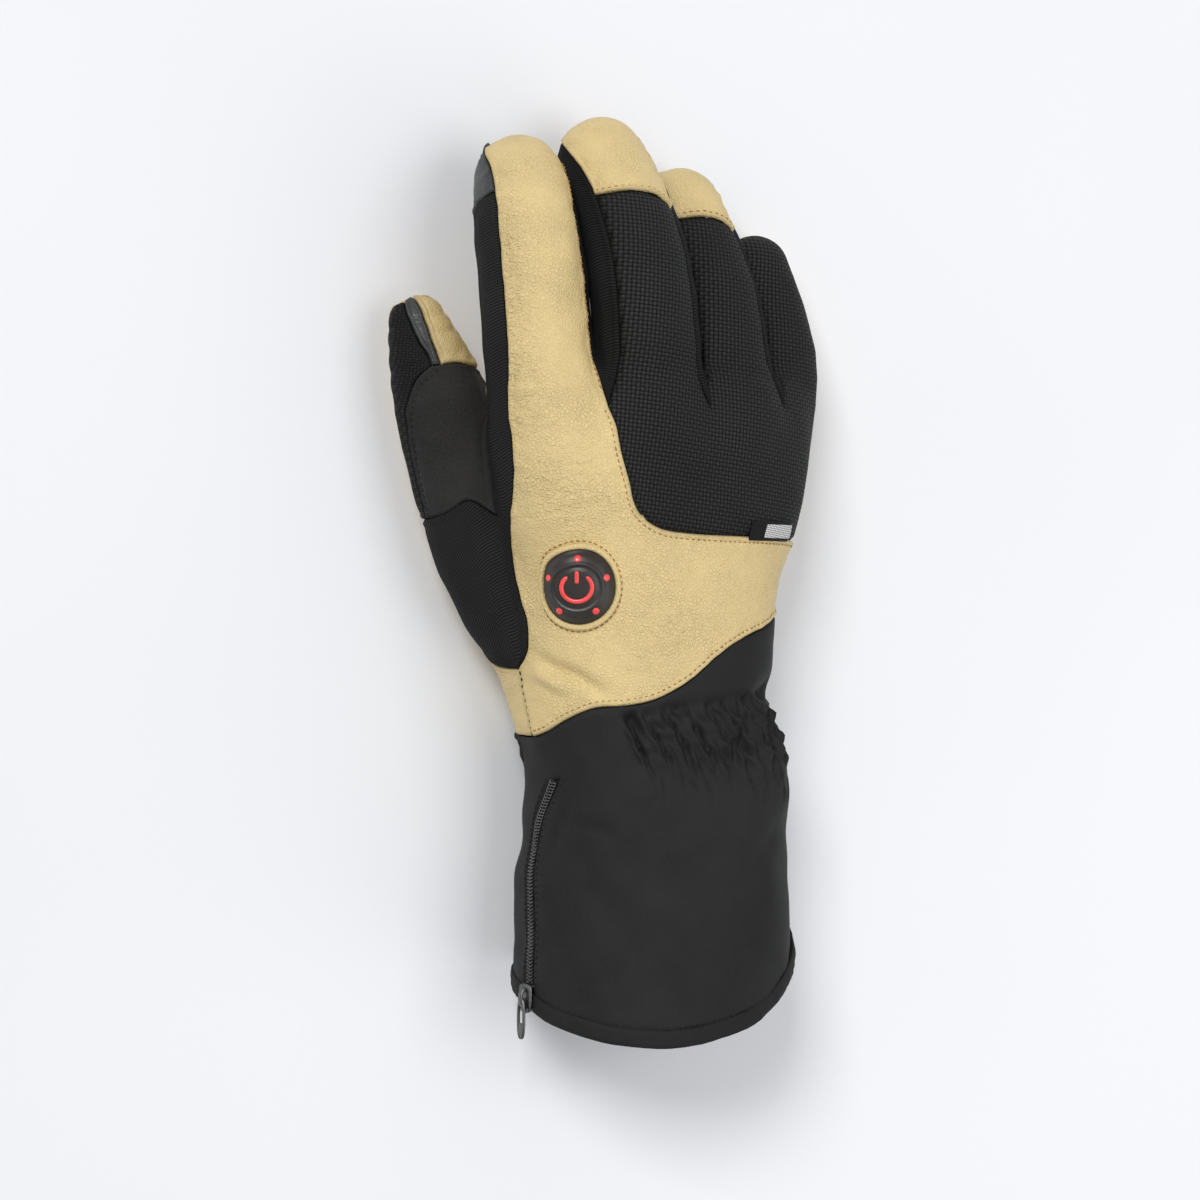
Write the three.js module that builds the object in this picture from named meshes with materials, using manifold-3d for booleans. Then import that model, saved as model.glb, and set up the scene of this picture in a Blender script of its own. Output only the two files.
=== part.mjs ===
import * as THREE from 'three';
import { mergeVertices } from 'three/addons/utils/BufferGeometryUtils.js';
import Module from 'manifold-3d';

// A heated gauntlet glove for the right hand, lying palm down. Millimetres, +Z up, fingertips toward +Y.
// One smooth function, form(), describes the outside of the stuffed glove. Every seam is a curve on it,
// and every piece of leather or cloth is a sheet of its own thickness between its seams.

const size = {
  handLength: 200,      // wrist gathers to the longest fingertip
  palmHalf: 53,         // half the width across the knuckles
  handHeight: 68,       // floor to the top of the back
  handDepth: 34,        // half the thickness of the palm at the wrist
  fingerRadius: 18,     // half the width of the index finger at its base
  fingerGap: 1.4,       // free space between neighbouring fingers
  cuffLength: 110,      // wrist gathers to the hem
  cuffHalf: 48,         // half the width of the cuff
  cuffDepth: 36,        // half the thickness of the cuff
  leather: 1.8,         // wall of the goat leather pieces
  knit: 1.5,            // wall of the ribbed knit pieces
  shell: 2.2,           // wall of the padded woven back and the cuff
  seamGap: 0.46,        // clearance between two pieces that are sewn together
  thumbGap: 1.35,         //   the same round the base of the thumb, where the seams turn sharply
  relief: 2.5,          // radius of the opening where four seams meet between thumb and index finger
  seat: 0.3,            // clearance under a piece that lies on another
  cuffGap: 0.35,        // how far the cuff stays back from the seams round it
  gatherDepth: 1.3,     // height of the folds at the wrist
  gatherFolds: 9,
  zipOpening: 6,        // width of the slot in the cuff that the zip closes
  zipTape: 1,           // thickness of the zip tape
  zipTapeDrop: 0.9,     // how far the tape lies below the outside of the cuff
  coilWidth: 2.6,
  coilHeight: 0.9,
  sliderWidth: 8,
  sliderLength: 10,
  sliderHeight: 2.6,
  pullLength: 16,
  pullWidth: 4.6,
  pullThickness: 1.4,
  bindingDepth: 5,      // width of the band that closes the hem
  bindingWall: 3,
  buttonDiameter: 25.4,
  buttonHeight: 2.6,
  buttonWall: 1.6,
  collarWidth: 2.2,
  collarHeight: 1.5,
  markDiameter: 2.2,
  markHeight: 0.6,
  symbolDiameter: 9,
  symbolLine: 1.4,
  labelLength: 25,
  labelWidth: 4.6,
  labelThickness: 0.8,
};

// Columns: x as a share of palmHalf, y of handLength, z of handHeight, r of fingerRadius
const digitRows = {
  index: [
    [-0.623, 0.350, 0.618, 1.056],
    [-0.698, 0.480, 0.662, 1.044],
    [-0.770, 0.610, 0.669, 0.989],
    [-0.796, 0.730, 0.640, 0.967],
    [-0.800, 0.830, 0.559, 0.933],
    [-0.781, 0.899, 0.456, 0.844],
  ],
  middle: [
    [-0.113, 0.370, 0.662, 1.056],
    [-0.085, 0.500, 0.721, 1.017],
    [-0.079, 0.610, 0.757, 0.961],
    [-0.094, 0.740, 0.691, 0.922],
    [-0.132, 0.860, 0.522, 0.878],
    [-0.179, 0.945, 0.353, 0.800],
  ],
  ring: [
    [0.415, 0.360, 0.603, 1.000],
    [0.491, 0.490, 0.603, 0.956],
    [0.540, 0.590, 0.566, 0.883],
    [0.547, 0.700, 0.471, 0.833],
    [0.498, 0.795, 0.338, 0.789],
    [0.443, 0.860, 0.224, 0.744],
  ],
  little: [
    [0.755, 0.320, 0.500, 0.833],
    [0.896, 0.430, 0.456, 0.833],
    [1.030, 0.530, 0.382, 0.789],
    [1.075, 0.610, 0.316, 0.772],
    [1.057, 0.690, 0.229, 0.733],
    [0.996, 0.755, 0.182, 0.689],
  ],
  thumb: [
    [-0.264, 0.040, 0.412, 1.000],
    [-0.566, 0.130, 0.353, 1.111],
    [-0.887, 0.270, 0.309, 1.056],
    [-1.066, 0.400, 0.279, 0.983],
    [-1.198, 0.515, 0.250, 0.889],
    [-1.289, 0.590, 0.235, 0.722],
    [-1.362, 0.652, 0.228, 0.511],
  ],
};

// Columns: y as a share of handLength, middle x of palmHalf, middle z of handHeight,
// half width of palmHalf, half thickness of handDepth, and the slope of the back across the hand
const handRows = [
  [-0.070, 0.132, 0.478, 0.858, 0.941, 0.00],
  [-0.020, 0.064, 0.471, 0.853, 0.921, 0.00],
  [0.030, 0.013, 0.471, 0.838, 0.912, 0.00],
  [0.080, 0.030, 0.485, 0.868, 0.912, -0.02],
  [0.130, 0.034, 0.500, 0.879, 0.897, -0.04],
  [0.180, 0.038, 0.522, 0.879, 0.882, -0.06],
  [0.240, 0.049, 0.551, 0.896, 0.838, -0.08],
  [0.300, 0.053, 0.574, 0.925, 0.794, -0.10],
  [0.380, 0.064, 0.596, 0.981, 0.750, -0.11],
  [0.460, 0.057, 0.610, 1.000, 0.691, -0.12],
  [0.520, 0.075, 0.618, 0.972, 0.559, -0.13],
  [0.570, 0.075, 0.618, 0.887, 0.353, -0.13],
];

// Columns: distance toward the hem as a share of cuffLength, middle x of palmHalf,
// middle z of handHeight, half width of cuffHalf, half thickness of cuffDepth
const cuffRows = [
  [1.364, 0.121, 0.478, 1.004, 1.014],
  [0.800, 0.121, 0.478, 1.004, 1.003],
  [0.682, 0.119, 0.478, 0.987, 1.000],
  [0.582, 0.111, 0.478, 0.967, 0.994],
  [0.491, 0.109, 0.475, 0.950, 0.986],
  [0.400, 0.132, 0.471, 0.933, 0.986],
  [0.309, 0.143, 0.468, 0.944, 0.972],
  [0.218, 0.157, 0.463, 0.952, 0.958],
];

// Columns: angle round the wrist from the top toward the little finger in degrees,
// the leather seam's y as a share of handLength, and the hem's y as a share of cuffLength
const cuffEdges = [
  [-180, 0.025, -0.765],
  [-135, -0.020, -0.800],
  [-100, -0.037, -0.850],
  [-77, -0.037, -0.890],
  [-65, -0.029, -0.915],
  [-52, -0.010, -0.940],
  [-42, 0.006, -0.958],
  [-33, 0.014, -0.972],
  [-14, 0.020, -0.987],
  [1, 0.042, -0.980],
  [10, 0.067, -0.966],
  [19, 0.098, -0.950],
  [30, 0.124, -0.920],
  [53, 0.150, -0.820],
  [90, 0.180, -0.680],
  [135, 0.100, -0.705],
  [180, 0.025, -0.765],
];

// Columns: distance toward the hem as a share of cuffLength, and the zip's angle round the cuff
const zipRows = [
  [0.150, -62],
  [0.260, -74],
  [0.350, -83],
  [0.430, -86],
  [0.530, -83],
  [0.660, -80],
  [0.800, -79],
  [1.000, -80],
];

const radians = THREE.MathUtils.degToRad;
const clamp = THREE.MathUtils.clamp;
const mix = THREE.MathUtils.lerp;
const smooth = (x, low, high) => THREE.MathUtils.smoothstep(x, low, high);
const vector = (x, y, z) => new THREE.Vector3(x, y, z);

// A smooth row between the rows of a table; t counts rows
function rowAt(rows, t) {
  const last = rows.length - 1;
  const i = clamp(Math.floor(t), 0, last - 1);
  const f = t - i;
  const [a, b, c, d] = [i - 1, i, i + 1, i + 2].map((k) => rows[clamp(k, 0, last)]);
  return b.map((_, k) => 0.5 * (2 * b[k] + (c[k] - a[k]) * f
    + (2 * a[k] - 5 * b[k] + 4 * c[k] - d[k]) * f * f
    + (3 * b[k] - a[k] - 3 * c[k] + d[k]) * f * f * f));
}

// The same, looked up by the value in the first column
function rowWhere(rows, value) {
  const up = rows[rows.length - 1][0] > rows[0][0] ? 1 : -1;
  let low = 0;
  let high = rows.length - 1;
  for (let step = 0; step < 24; step += 1) {
    const middle = (low + high) / 2;
    if ((rowAt(rows, middle)[0] - value) * up < 0) low = middle; else high = middle;
  }
  return rowAt(rows, (low + high) / 2);
}

// Centre lines of the five digits, two balls for each row of the table
const digits = {};
for (const [name, rows] of Object.entries(digitRows)) {
  digits[name] = rows.map(([x, y, z, r]) => [
    x * size.palmHalf, y * size.handLength, z * size.handHeight, r * size.fingerRadius]);
}
const balls = {};
function makeBalls(name) {
  const count = 2 * (digits[name].length - 1);
  balls[name] = Array.from({ length: count + 1 }, (_, k) => rowAt(digits[name], k / 2));
}
Object.keys(digits).forEach(makeBalls);

// Fingers stay clear of each other: where two balls come too close, both shrink by half of it
const fingers = ['index', 'middle', 'ring', 'little'];
for (const [a, b] of [[0, 1], [1, 2], [2, 3]].map((pair) => pair.map((k) => fingers[k]))) {
  for (const row of digits[a].concat(digits[b])) {
    if (row[1] < 0.61 * size.handLength) continue;
    const other = digits[a].includes(row) ? b : a;
    const room = Math.min(...balls[other].map((ball) =>
      Math.hypot(row[0] - ball[0], row[1] - ball[1], row[2] - ball[2]) - ball[3]));
    row[3] = Math.min(row[3], row[3] + (room - row[3] - size.fingerGap) / 2);
  }
}
Object.keys(digits).forEach(makeBalls);

function digitDistance(name, x, y, z) {
  let best = Infinity;
  const chain = balls[name];
  for (let i = 0; i + 1 < chain.length; i += 1) {
    const [ax, ay, az, ar] = chain[i];
    const [bx, by, bz, br] = chain[i + 1];
    const ux = bx - ax;
    const uy = by - ay;
    const uz = bz - az;
    const h = clamp(((x - ax) * ux + (y - ay) * uy + (z - az) * uz) / (ux * ux + uy * uy + uz * uz), 0, 1);
    best = Math.min(best, Math.hypot(x - ax - h * ux, y - ay - h * uy, z - az - h * uz) - mix(ar, br, h));
  }
  return best;
}

// Sections of the palm and cuff, kept at every half millimetre of y
const sectionStep = 0.5;
const sectionStart = -cuffRows[0][0] * size.cuffLength;
const sectionEnd = handRows[handRows.length - 1][0] * size.handLength;
const sectionRows = [
  ...cuffRows.map(([y, x, z, a, b]) => [-y * size.cuffLength, x * size.palmHalf, z * size.handHeight,
    a * size.cuffHalf, b * size.cuffDepth, 0]),
  ...handRows.map(([y, x, z, a, b, slope]) => [y * size.handLength, x * size.palmHalf,
    z * size.handHeight, a * size.palmHalf, b * size.handDepth, slope]),
];
const sections = Array.from({ length: Math.ceil((sectionEnd - sectionStart) / sectionStep) + 1 },
  (_, k) => rowWhere(sectionRows, sectionStart + k * sectionStep));
function sectionAt(y) {
  const t = clamp((y - sectionStart) / sectionStep, 0, sections.length - 1.001);
  const i = Math.floor(t);
  return sections[i].map((value, k) => mix(value, sections[i + 1][k], t - i));
}

const crotchY = 0.555 * size.handLength;
const squareness = 2.3;
function bodyDistance(x, y, z) {
  const [, middleX, middleZ, a, b, slope] = sectionAt(y);
  const dx = x - middleX;
  const dz = z - middleZ - slope * dx;
  const k = (Math.abs(dx / a) ** squareness + Math.abs(dz / b) ** squareness) ** (1 / squareness) + 1e-9;
  const steepness = Math.hypot(dx / (a * a), dz / (b * b)) / k + 1e-9;
  return Math.max((k - 1) / steepness * 0.9, y - crotchY);
}

function blend(a, b, width) {
  const h = clamp(0.5 + 0.5 * (b - a) / width, 0, 1);
  return mix(b, a, h) - width * h * (1 - h);
}

// Distance to the outside of the stuffed glove, below zero inside
function form(x, y, z) {
  const web = 1.5 + 10 * smooth(crotchY + 2 - y, 0, 0.15 * size.handLength);
  let d = digitDistance('index', x, y, z);
  for (const name of ['middle', 'ring', 'little']) d = blend(d, digitDistance(name, x, y, z), web);
  d = blend(d, bodyDistance(x, y, z), 10);
  d = blend(d, digitDistance('thumb', x, y, z), 2 + 5 * smooth(0.45 * size.handLength - y, 0, 40));
  return -blend(-d, z, 3);
}

function gradient(p) {
  const e = 0.2;
  return vector(
    form(p.x + e, p.y, p.z) - form(p.x - e, p.y, p.z),
    form(p.x, p.y + e, p.z) - form(p.x, p.y - e, p.z),
    form(p.x, p.y, p.z + e) - form(p.x, p.y, p.z - e)).divideScalar(2 * e);
}

// Moves a point onto the layer that lies at this height over the outside
function press(point, height = 0, steps = 6) {
  const p = point.clone();
  for (let k = 0; k < steps; k += 1) {
    const slope = gradient(p);
    const move = (form(p.x, p.y, p.z) - height) / Math.max(slope.lengthSq(), 0.2);
    p.addScaledVector(slope, -clamp(move, -2, 2));
  }
  p.z = Math.max(p.z, 0);
  return p;
}

// Goes from a point inside straight out to the surface, at most as far as reach
function march(start, direction, reach = Infinity) {
  const p = start.clone();
  for (let k = 0; k < 120; k += 1) {
    const d = form(p.x, p.y, p.z);
    if (d > -0.01 || p.distanceTo(start) > reach) break;
    p.addScaledVector(direction, clamp(-d * 0.9, 0.02, 2));
  }
  return press(p);
}

// Each digit has a chart: row along it, angle from its back toward the little finger, lean to its tip
function digitFrame(name, s) {
  const at = (t) => vector(...rowAt(digits[name], t).slice(0, 3));
  const last = digits[name].length - 1;
  const along = at(Math.min(s + 0.1, last)).sub(at(Math.max(s - 0.1, 0))).normalize();
  const back = vector(0, 0, 1).addScaledVector(along, -along.z).normalize();
  return { origin: at(s), along, back, side: along.clone().cross(back) };
}
const compose = ({ along, back, side }, [b, s, a]) => vector(0, 0, 0)
  .addScaledVector(back, b).addScaledVector(side, s).addScaledVector(along, a).normalize();
function onDigit(name, s, angle, lean = 0) {
  const frame = digitFrame(name, s);
  const flat = Math.cos(radians(lean));
  const reach = 1.5 * rowAt(digits[name], s)[3];
  return march(frame.origin, compose(frame, [
    flat * Math.cos(radians(angle)), flat * Math.sin(radians(angle)), Math.sin(radians(lean))]), reach);
}
// The hand's own chart: share of the hand's length and angle round its section
function onHand(share, angle, reach) {
  const y = share * size.handLength;
  const [, middleX, middleZ, a, b, slope] = sectionAt(y);
  const dx = a * Math.sin(radians(angle));
  const dz = b * Math.cos(radians(angle)) + slope * dx;
  return march(vector(middleX, y, middleZ), vector(dx, 0, dz).normalize(), reach);
}
// The web between two digits, seen from the middle between them at a share of the hand's length:
// the angle turns from straight ahead toward the back of the hand
function onWeb(a, b, share, angle) {
  const row = (name, y) => rowWhere(digits[name].map((values) => [values[1], ...values]), y);
  const between = (y) => {
    const [from, to] = [row(a, y), row(b, y)];
    return vector(...from.slice(1, 4)).lerp(vector(...to.slice(1, 4)), from[4] / (from[4] + to[4]));
  };
  const y = share * size.handLength;
  const start = between(y);
  const ahead = between(y + 0.15 * size.handLength).sub(start).normalize();
  const sideways = vector(...row(b, y).slice(1, 4)).sub(vector(...row(a, y).slice(1, 4)));
  const up = sideways.cross(ahead).normalize();
  if (up.z < 0) up.negate();
  return march(start,
    ahead.multiplyScalar(Math.cos(radians(angle))).addScaledVector(up, Math.sin(radians(angle))));
}

// A seam runs smoothly through its few points; cut() gives even steps between two of them
class Seam {
  constructor(points) {
    this.points = points;
    this.curve = new THREE.CatmullRomCurve3(points, false, 'centripetal');
  }

  cut(from, to, count) {
    const fine = 60;
    const last = this.points.length - 1;
    const samples = Array.from({ length: fine + 1 },
      (_, k) => this.curve.getPoint(mix(from, to, k / fine) / last));
    const lengths = [0];
    for (let k = 1; k <= fine; k += 1) lengths.push(lengths[k - 1] + samples[k].distanceTo(samples[k - 1]));
    return Array.from({ length: count + 1 }, (_, k) => {
      const wanted = lengths[fine] * k / count;
      let i = 0;
      while (i < fine - 1 && lengths[i + 1] < wanted) i += 1;
      const t = (wanted - lengths[i]) / Math.max(lengths[i + 1] - lengths[i], 1e-9);
      return press(samples[i].clone().lerp(samples[i + 1], clamp(t, 0, 1)));
    });
  }

  whole(count) { return this.cut(0, this.points.length - 1, count); }
}
const seam = (...points) => new Seam(points);
const onDigitRows = (name, ...rows) => rows.map((row) => onDigit(name, ...row));
const onHandRows = (...rows) => rows.map((row) => onHand(...row));

// Charts for filling a piece: a point to numbers that mix well, and back. The last number is the
// distance from the middle, so that a ray stops in time and never runs on into the next digit.
const handChart = {
  read: (turn) => (p) => {
    const [, middleX, middleZ, a, b, slope] = sectionAt(p.y);
    const dx = p.x - middleX;
    const angle = THREE.MathUtils.radToDeg(Math.atan2(dx / a, (p.z - middleZ - slope * dx) / b));
    return [p.y / size.handLength, angle + 360 * Math.round((turn - angle) / 360),
      Math.hypot(dx, p.z - middleZ)];
  },
  write: ([share, angle, distance]) => onHand(share, angle, 1.03 * distance + 0.6),
};
const digitChart = (name) => ({
  read: () => (p) => {
    const last = digits[name].length - 1;
    let best = 0;
    let nearest = Infinity;
    for (let width = last / 2, middle = last / 2; width > 0.002; width /= 2.5, middle = best) {
      for (let k = -5; k <= 5; k += 1) {
        const s = clamp(middle + width * k / 5, 0, last);
        const d = p.distanceTo(vector(...rowAt(digits[name], s).slice(0, 3)));
        if (d < nearest) { nearest = d; best = s; }
      }
    }
    const { origin, along, back, side } = digitFrame(name, best);
    const arm = p.clone().sub(origin);
    const distance = arm.length();
    return [best, arm.dot(back) / distance, arm.dot(side) / distance, arm.dot(along) / distance, distance];
  },
  write: ([s, b, x, a, distance]) => {
    const frame = digitFrame(name, s);
    return march(frame.origin, compose(frame, [b, x, a]), 1.03 * distance + 0.6);
  },
});

// Fills the space between four edges: left and right run the same way, as do start and end
function patch(chart, { left, right, start, end, turn = 0 }) {
  const read = chart.read(turn);
  const [l, r, s, e] = [left, right, start, end].map((edge) => edge.map(read));
  const rows = left.length - 1;
  const columns = start.length - 1;
  return left.map((_, j) => start.map((__, i) => {
    if (i === 0) return left[j];
    if (i === columns) return right[j];
    if (j === 0) return start[i];
    if (j === rows) return end[i];
    const u = i / columns;
    const v = j / rows;
    return chart.write(l[j].map((_v, k) => mix(l[j][k], r[j][k], u) + mix(s[i][k], e[i][k], v)
      - mix(mix(s[0][k], s[columns][k], u), mix(e[0][k], e[columns][k], u), v)));
  }));
}

// Joins patches into one closed sheet. low and high are heights over the glove's outside.
function sheet(patches, low, high, { inset = () => size.seamGap / 2, lift = () => 0 } = {}) {
  const points = [];
  const found = new Map();
  const indexOf = (p) => {
    const key = [p.x, p.y, p.z].map((value) => Math.round(value * 200)).join();
    if (!found.has(key)) found.set(key, points.push(p) - 1);
    return found.get(key);
  };
  const triangles = [];
  for (const grid of patches) {
    const net = grid.map((line) => line.map(indexOf));
    const made = [];
    for (let j = 0; j + 1 < net.length; j += 1) {
      for (let i = 0; i + 1 < net[j].length; i += 1) {
        const [a, b, c, d] = [net[j][i], net[j][i + 1], net[j + 1][i + 1], net[j + 1][i]];
        const short = points[a].distanceTo(points[c]) <= points[b].distanceTo(points[d]);
        made.push(...(short ? [[a, b, c], [a, c, d]] : [[a, b, d], [b, c, d]]));
      }
    }
    const real = made.filter(([a, b, c]) => a !== b && b !== c && c !== a);
    let facing = 0;
    for (const [a, b, c] of real) {
      const normal = points[b].clone().sub(points[a]).cross(points[c].clone().sub(points[a]));
      facing += normal.dot(gradient(points[a]));
    }
    triangles.push(...(facing < 0 ? real.map(([a, b, c]) => [a, c, b]) : real));
  }
  const edges = new Map();
  for (const [a, b, c] of triangles) {
    for (const [from, to] of [[a, b], [b, c], [c, a]]) edges.set(`${from},${to}`, [from, to]);
  }
  const rim = [...edges.values()].filter(([from, to]) => !edges.has(`${to},${from}`));
  const slopes = points.map((p) => gradient(p).normalize());
  const pulls = new Map();
  for (const [from, to] of rim) {
    const along = points[to].clone().sub(points[from]).normalize();
    for (const k of [from, to]) {
      const inward = slopes[k].clone().cross(along).normalize();
      pulls.set(k, [...(pulls.get(k) || []), inward]);
    }
  }
  const moved = points.map((p, k) => {
    const inwards = pulls.get(k);
    if (!inwards) return p;
    const pull = inwards.reduce((sum, v) => sum.add(v), vector(0, 0, 0)).multiplyScalar(1 / inwards.length);
    return p.clone().addScaledVector(pull, inset(p) / Math.max(pull.lengthSq(), 0.12));
  });
  const top = moved.map((p) => press(p, high + lift(p)));
  const bottom = moved.map((p, k) => press(p.clone().addScaledVector(slopes[k], low), low + lift(p)));
  const count = points.length;
  const faces = [
    ...triangles,
    ...triangles.map(([a, b, c]) => [a + count, c + count, b + count]),
    ...rim.flatMap(([a, b]) => [[a, a + count, b], [b, a + count, b + count]]),
  ];
  return solid([...top, ...bottom], faces);
}

function solid(points, faces) {
  const geometry = new THREE.BufferGeometry();
  geometry.setAttribute('position',
    new THREE.Float32BufferAttribute(points.flatMap((p) => [p.x, p.y, p.z]), 3));
  geometry.setIndex(faces.flat());
  geometry.computeVertexNormals();
  return geometry;
}

const wasm = await Module();
wasm.setup();
function cut(geometry, tool) {
  const [from, away] = [geometry, tool].map((piece) => {
    const bare = piece.clone();
    bare.deleteAttribute('normal');
    bare.deleteAttribute('uv');
    const { attributes, index } = mergeVertices(bare);
    return new wasm.Manifold(new wasm.Mesh({ numProp: 3, vertProperties: attributes.position.array,
      triVerts: new Uint32Array(index.array) }));
  });
  const [largest] = from.subtract(away).decompose().sort((a, b) => b.volume() - a.volume());
  const { vertProperties, triVerts } = largest.getMesh();
  const left = new THREE.BufferGeometry();
  left.setAttribute('position', new THREE.Float32BufferAttribute(vertProperties, 3));
  left.setIndex([...triVerts]);
  left.computeVertexNormals();
  return left;
}

const material = (color, roughness, metalness = 0) =>
  new THREE.MeshStandardMaterial({ color, roughness, metalness });
const looks = {
  tan: material(0xd9be83, 0.62),
  glossy: material(0x4e4f4e, 0.35),
  woven: material(0x2c2c2c, 0.85),
  knit: material(0x262626, 0.9),
  suede: material(0x313131, 0.95),
  softshell: material(0x2b2b2b, 0.8),
  binding: material(0x3b3b3b, 0.7),
  rubber: material(0x2b2622, 0.45),
  red: material(0xff504b, 0.4),
  metal: material(0x8a8a88, 0.35, 0.9),
  tape: material(0x1d1d1d, 0.85),
  pale: material(0xd8d8d6, 0.7),
};
const glove = new THREE.Group();
function add(name, look, geometry) {
  const mesh = new THREE.Mesh(geometry, looks[look]);
  mesh.name = name;
  glove.add(mesh);
}
const tight = () => size.seamGap / 2;
const wide = () => size.thumbGap / 2;
const flush = () => 0;
const leather = (patches, inset = tight) => sheet(patches, -size.leather, 0, { inset });
const knit = (patches, inset = tight) => sheet(patches, -size.knit, 0, { inset });
const shell = (patches) => sheet(patches, -size.shell, 0);

// How many faces each stretch gets
const faces = { back: 4, side: 3, palm: 4, low: 8, cap: 3, column: 7, wedge: 6, wrist: 3, web: 3,
  groove: 4, hill: 3,
  baseInner: 4, baseOuter: 3, suedeInner: 2, knitSide: 3, suede: 4, thumbTip: 3 };

// Webs between neighbouring digits, from the back of the hand to the palm
const webStart = 0.46;
const webBetween = (a, b) => seam(...[60, 30, 0, -30, -60].map((angle) => onWeb(a, b, webStart, angle)))
  .whole(faces.side);
const webs = { index: webBetween('index', 'middle'), middle: webBetween('middle', 'ring'),
  ring: webBetween('ring', 'little') };

// Seams along the fingers. The strips on back, sides and palm meet at these angles. Each seam is cut
// where the finger's cap or touch tip begins: columns left and right are rows of the digit's table.
const edgeAngle = 54;
const outerAngle = 80;
const tipLean = 48;
const capStart = {
  index: { left: 4.15, right: 4.15 },
  middle: { left: 3.9, right: 3.62 },
  ring: { left: 4.42, right: 3.95 },
  little: { left: 4.2, right: 4.2 },
};
// The first row of each finger's table where it stands free of its neighbour
const freeRow = { index: 2, middle: 2, ring: 2, little: 2.25 };
const strips = {};
for (const name of fingers) {
  const before = webs[fingers[fingers.indexOf(name) - 1]];
  const after = webs[name];
  const outer = after ? 90 : outerAngle;
  const [tipLeft, tipRight] = [onDigit(name, 5, -90, tipLean), onDigit(name, 5, outer, tipLean)];
  const edge = (first, angle, turn, last, stop) => {
    const line = seam(first, ...onDigitRows(name, [freeRow[name], angle], [3, angle], [4, angle],
      [4.6, mix(angle, turn, 0.15)], [5, mix(angle, turn, 0.5), 20]), last);
    const control = stop < 4 ? stop - 1 : 3 + (stop - 4) / 0.6;
    return [...line.cut(0, control, faces.low), ...line.cut(control, 6, faces.cap).slice(1)];
  };
  const { left, right } = capStart[name];
  strips[name] = {
    tip: seam(tipLeft, onDigit(name, 5, 0, 80), tipRight),
    backLeft: edge(before ? before[0] : onDigit(name, 1.25, -61), -edgeAngle, -90, tipLeft, left),
    backRight: after ? edge(after[0], edgeAngle, 90, tipRight, right)
      : edge(onDigit(name, 1.4, outerAngle), outerAngle, outerAngle, tipRight, right),
    palmLeft: before && edge(before[faces.side], 180 + edgeAngle, 270, tipLeft, left),
    palmRight: after && edge(after[faces.side], 180 - edgeAngle, 90, tipRight, right),
  };
}
strips.little.palmRight = strips.little.backRight;
const lowPart = (edge) => edge.slice(0, faces.low + 1);
const capPart = (edge) => edge.slice(faces.low);

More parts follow.
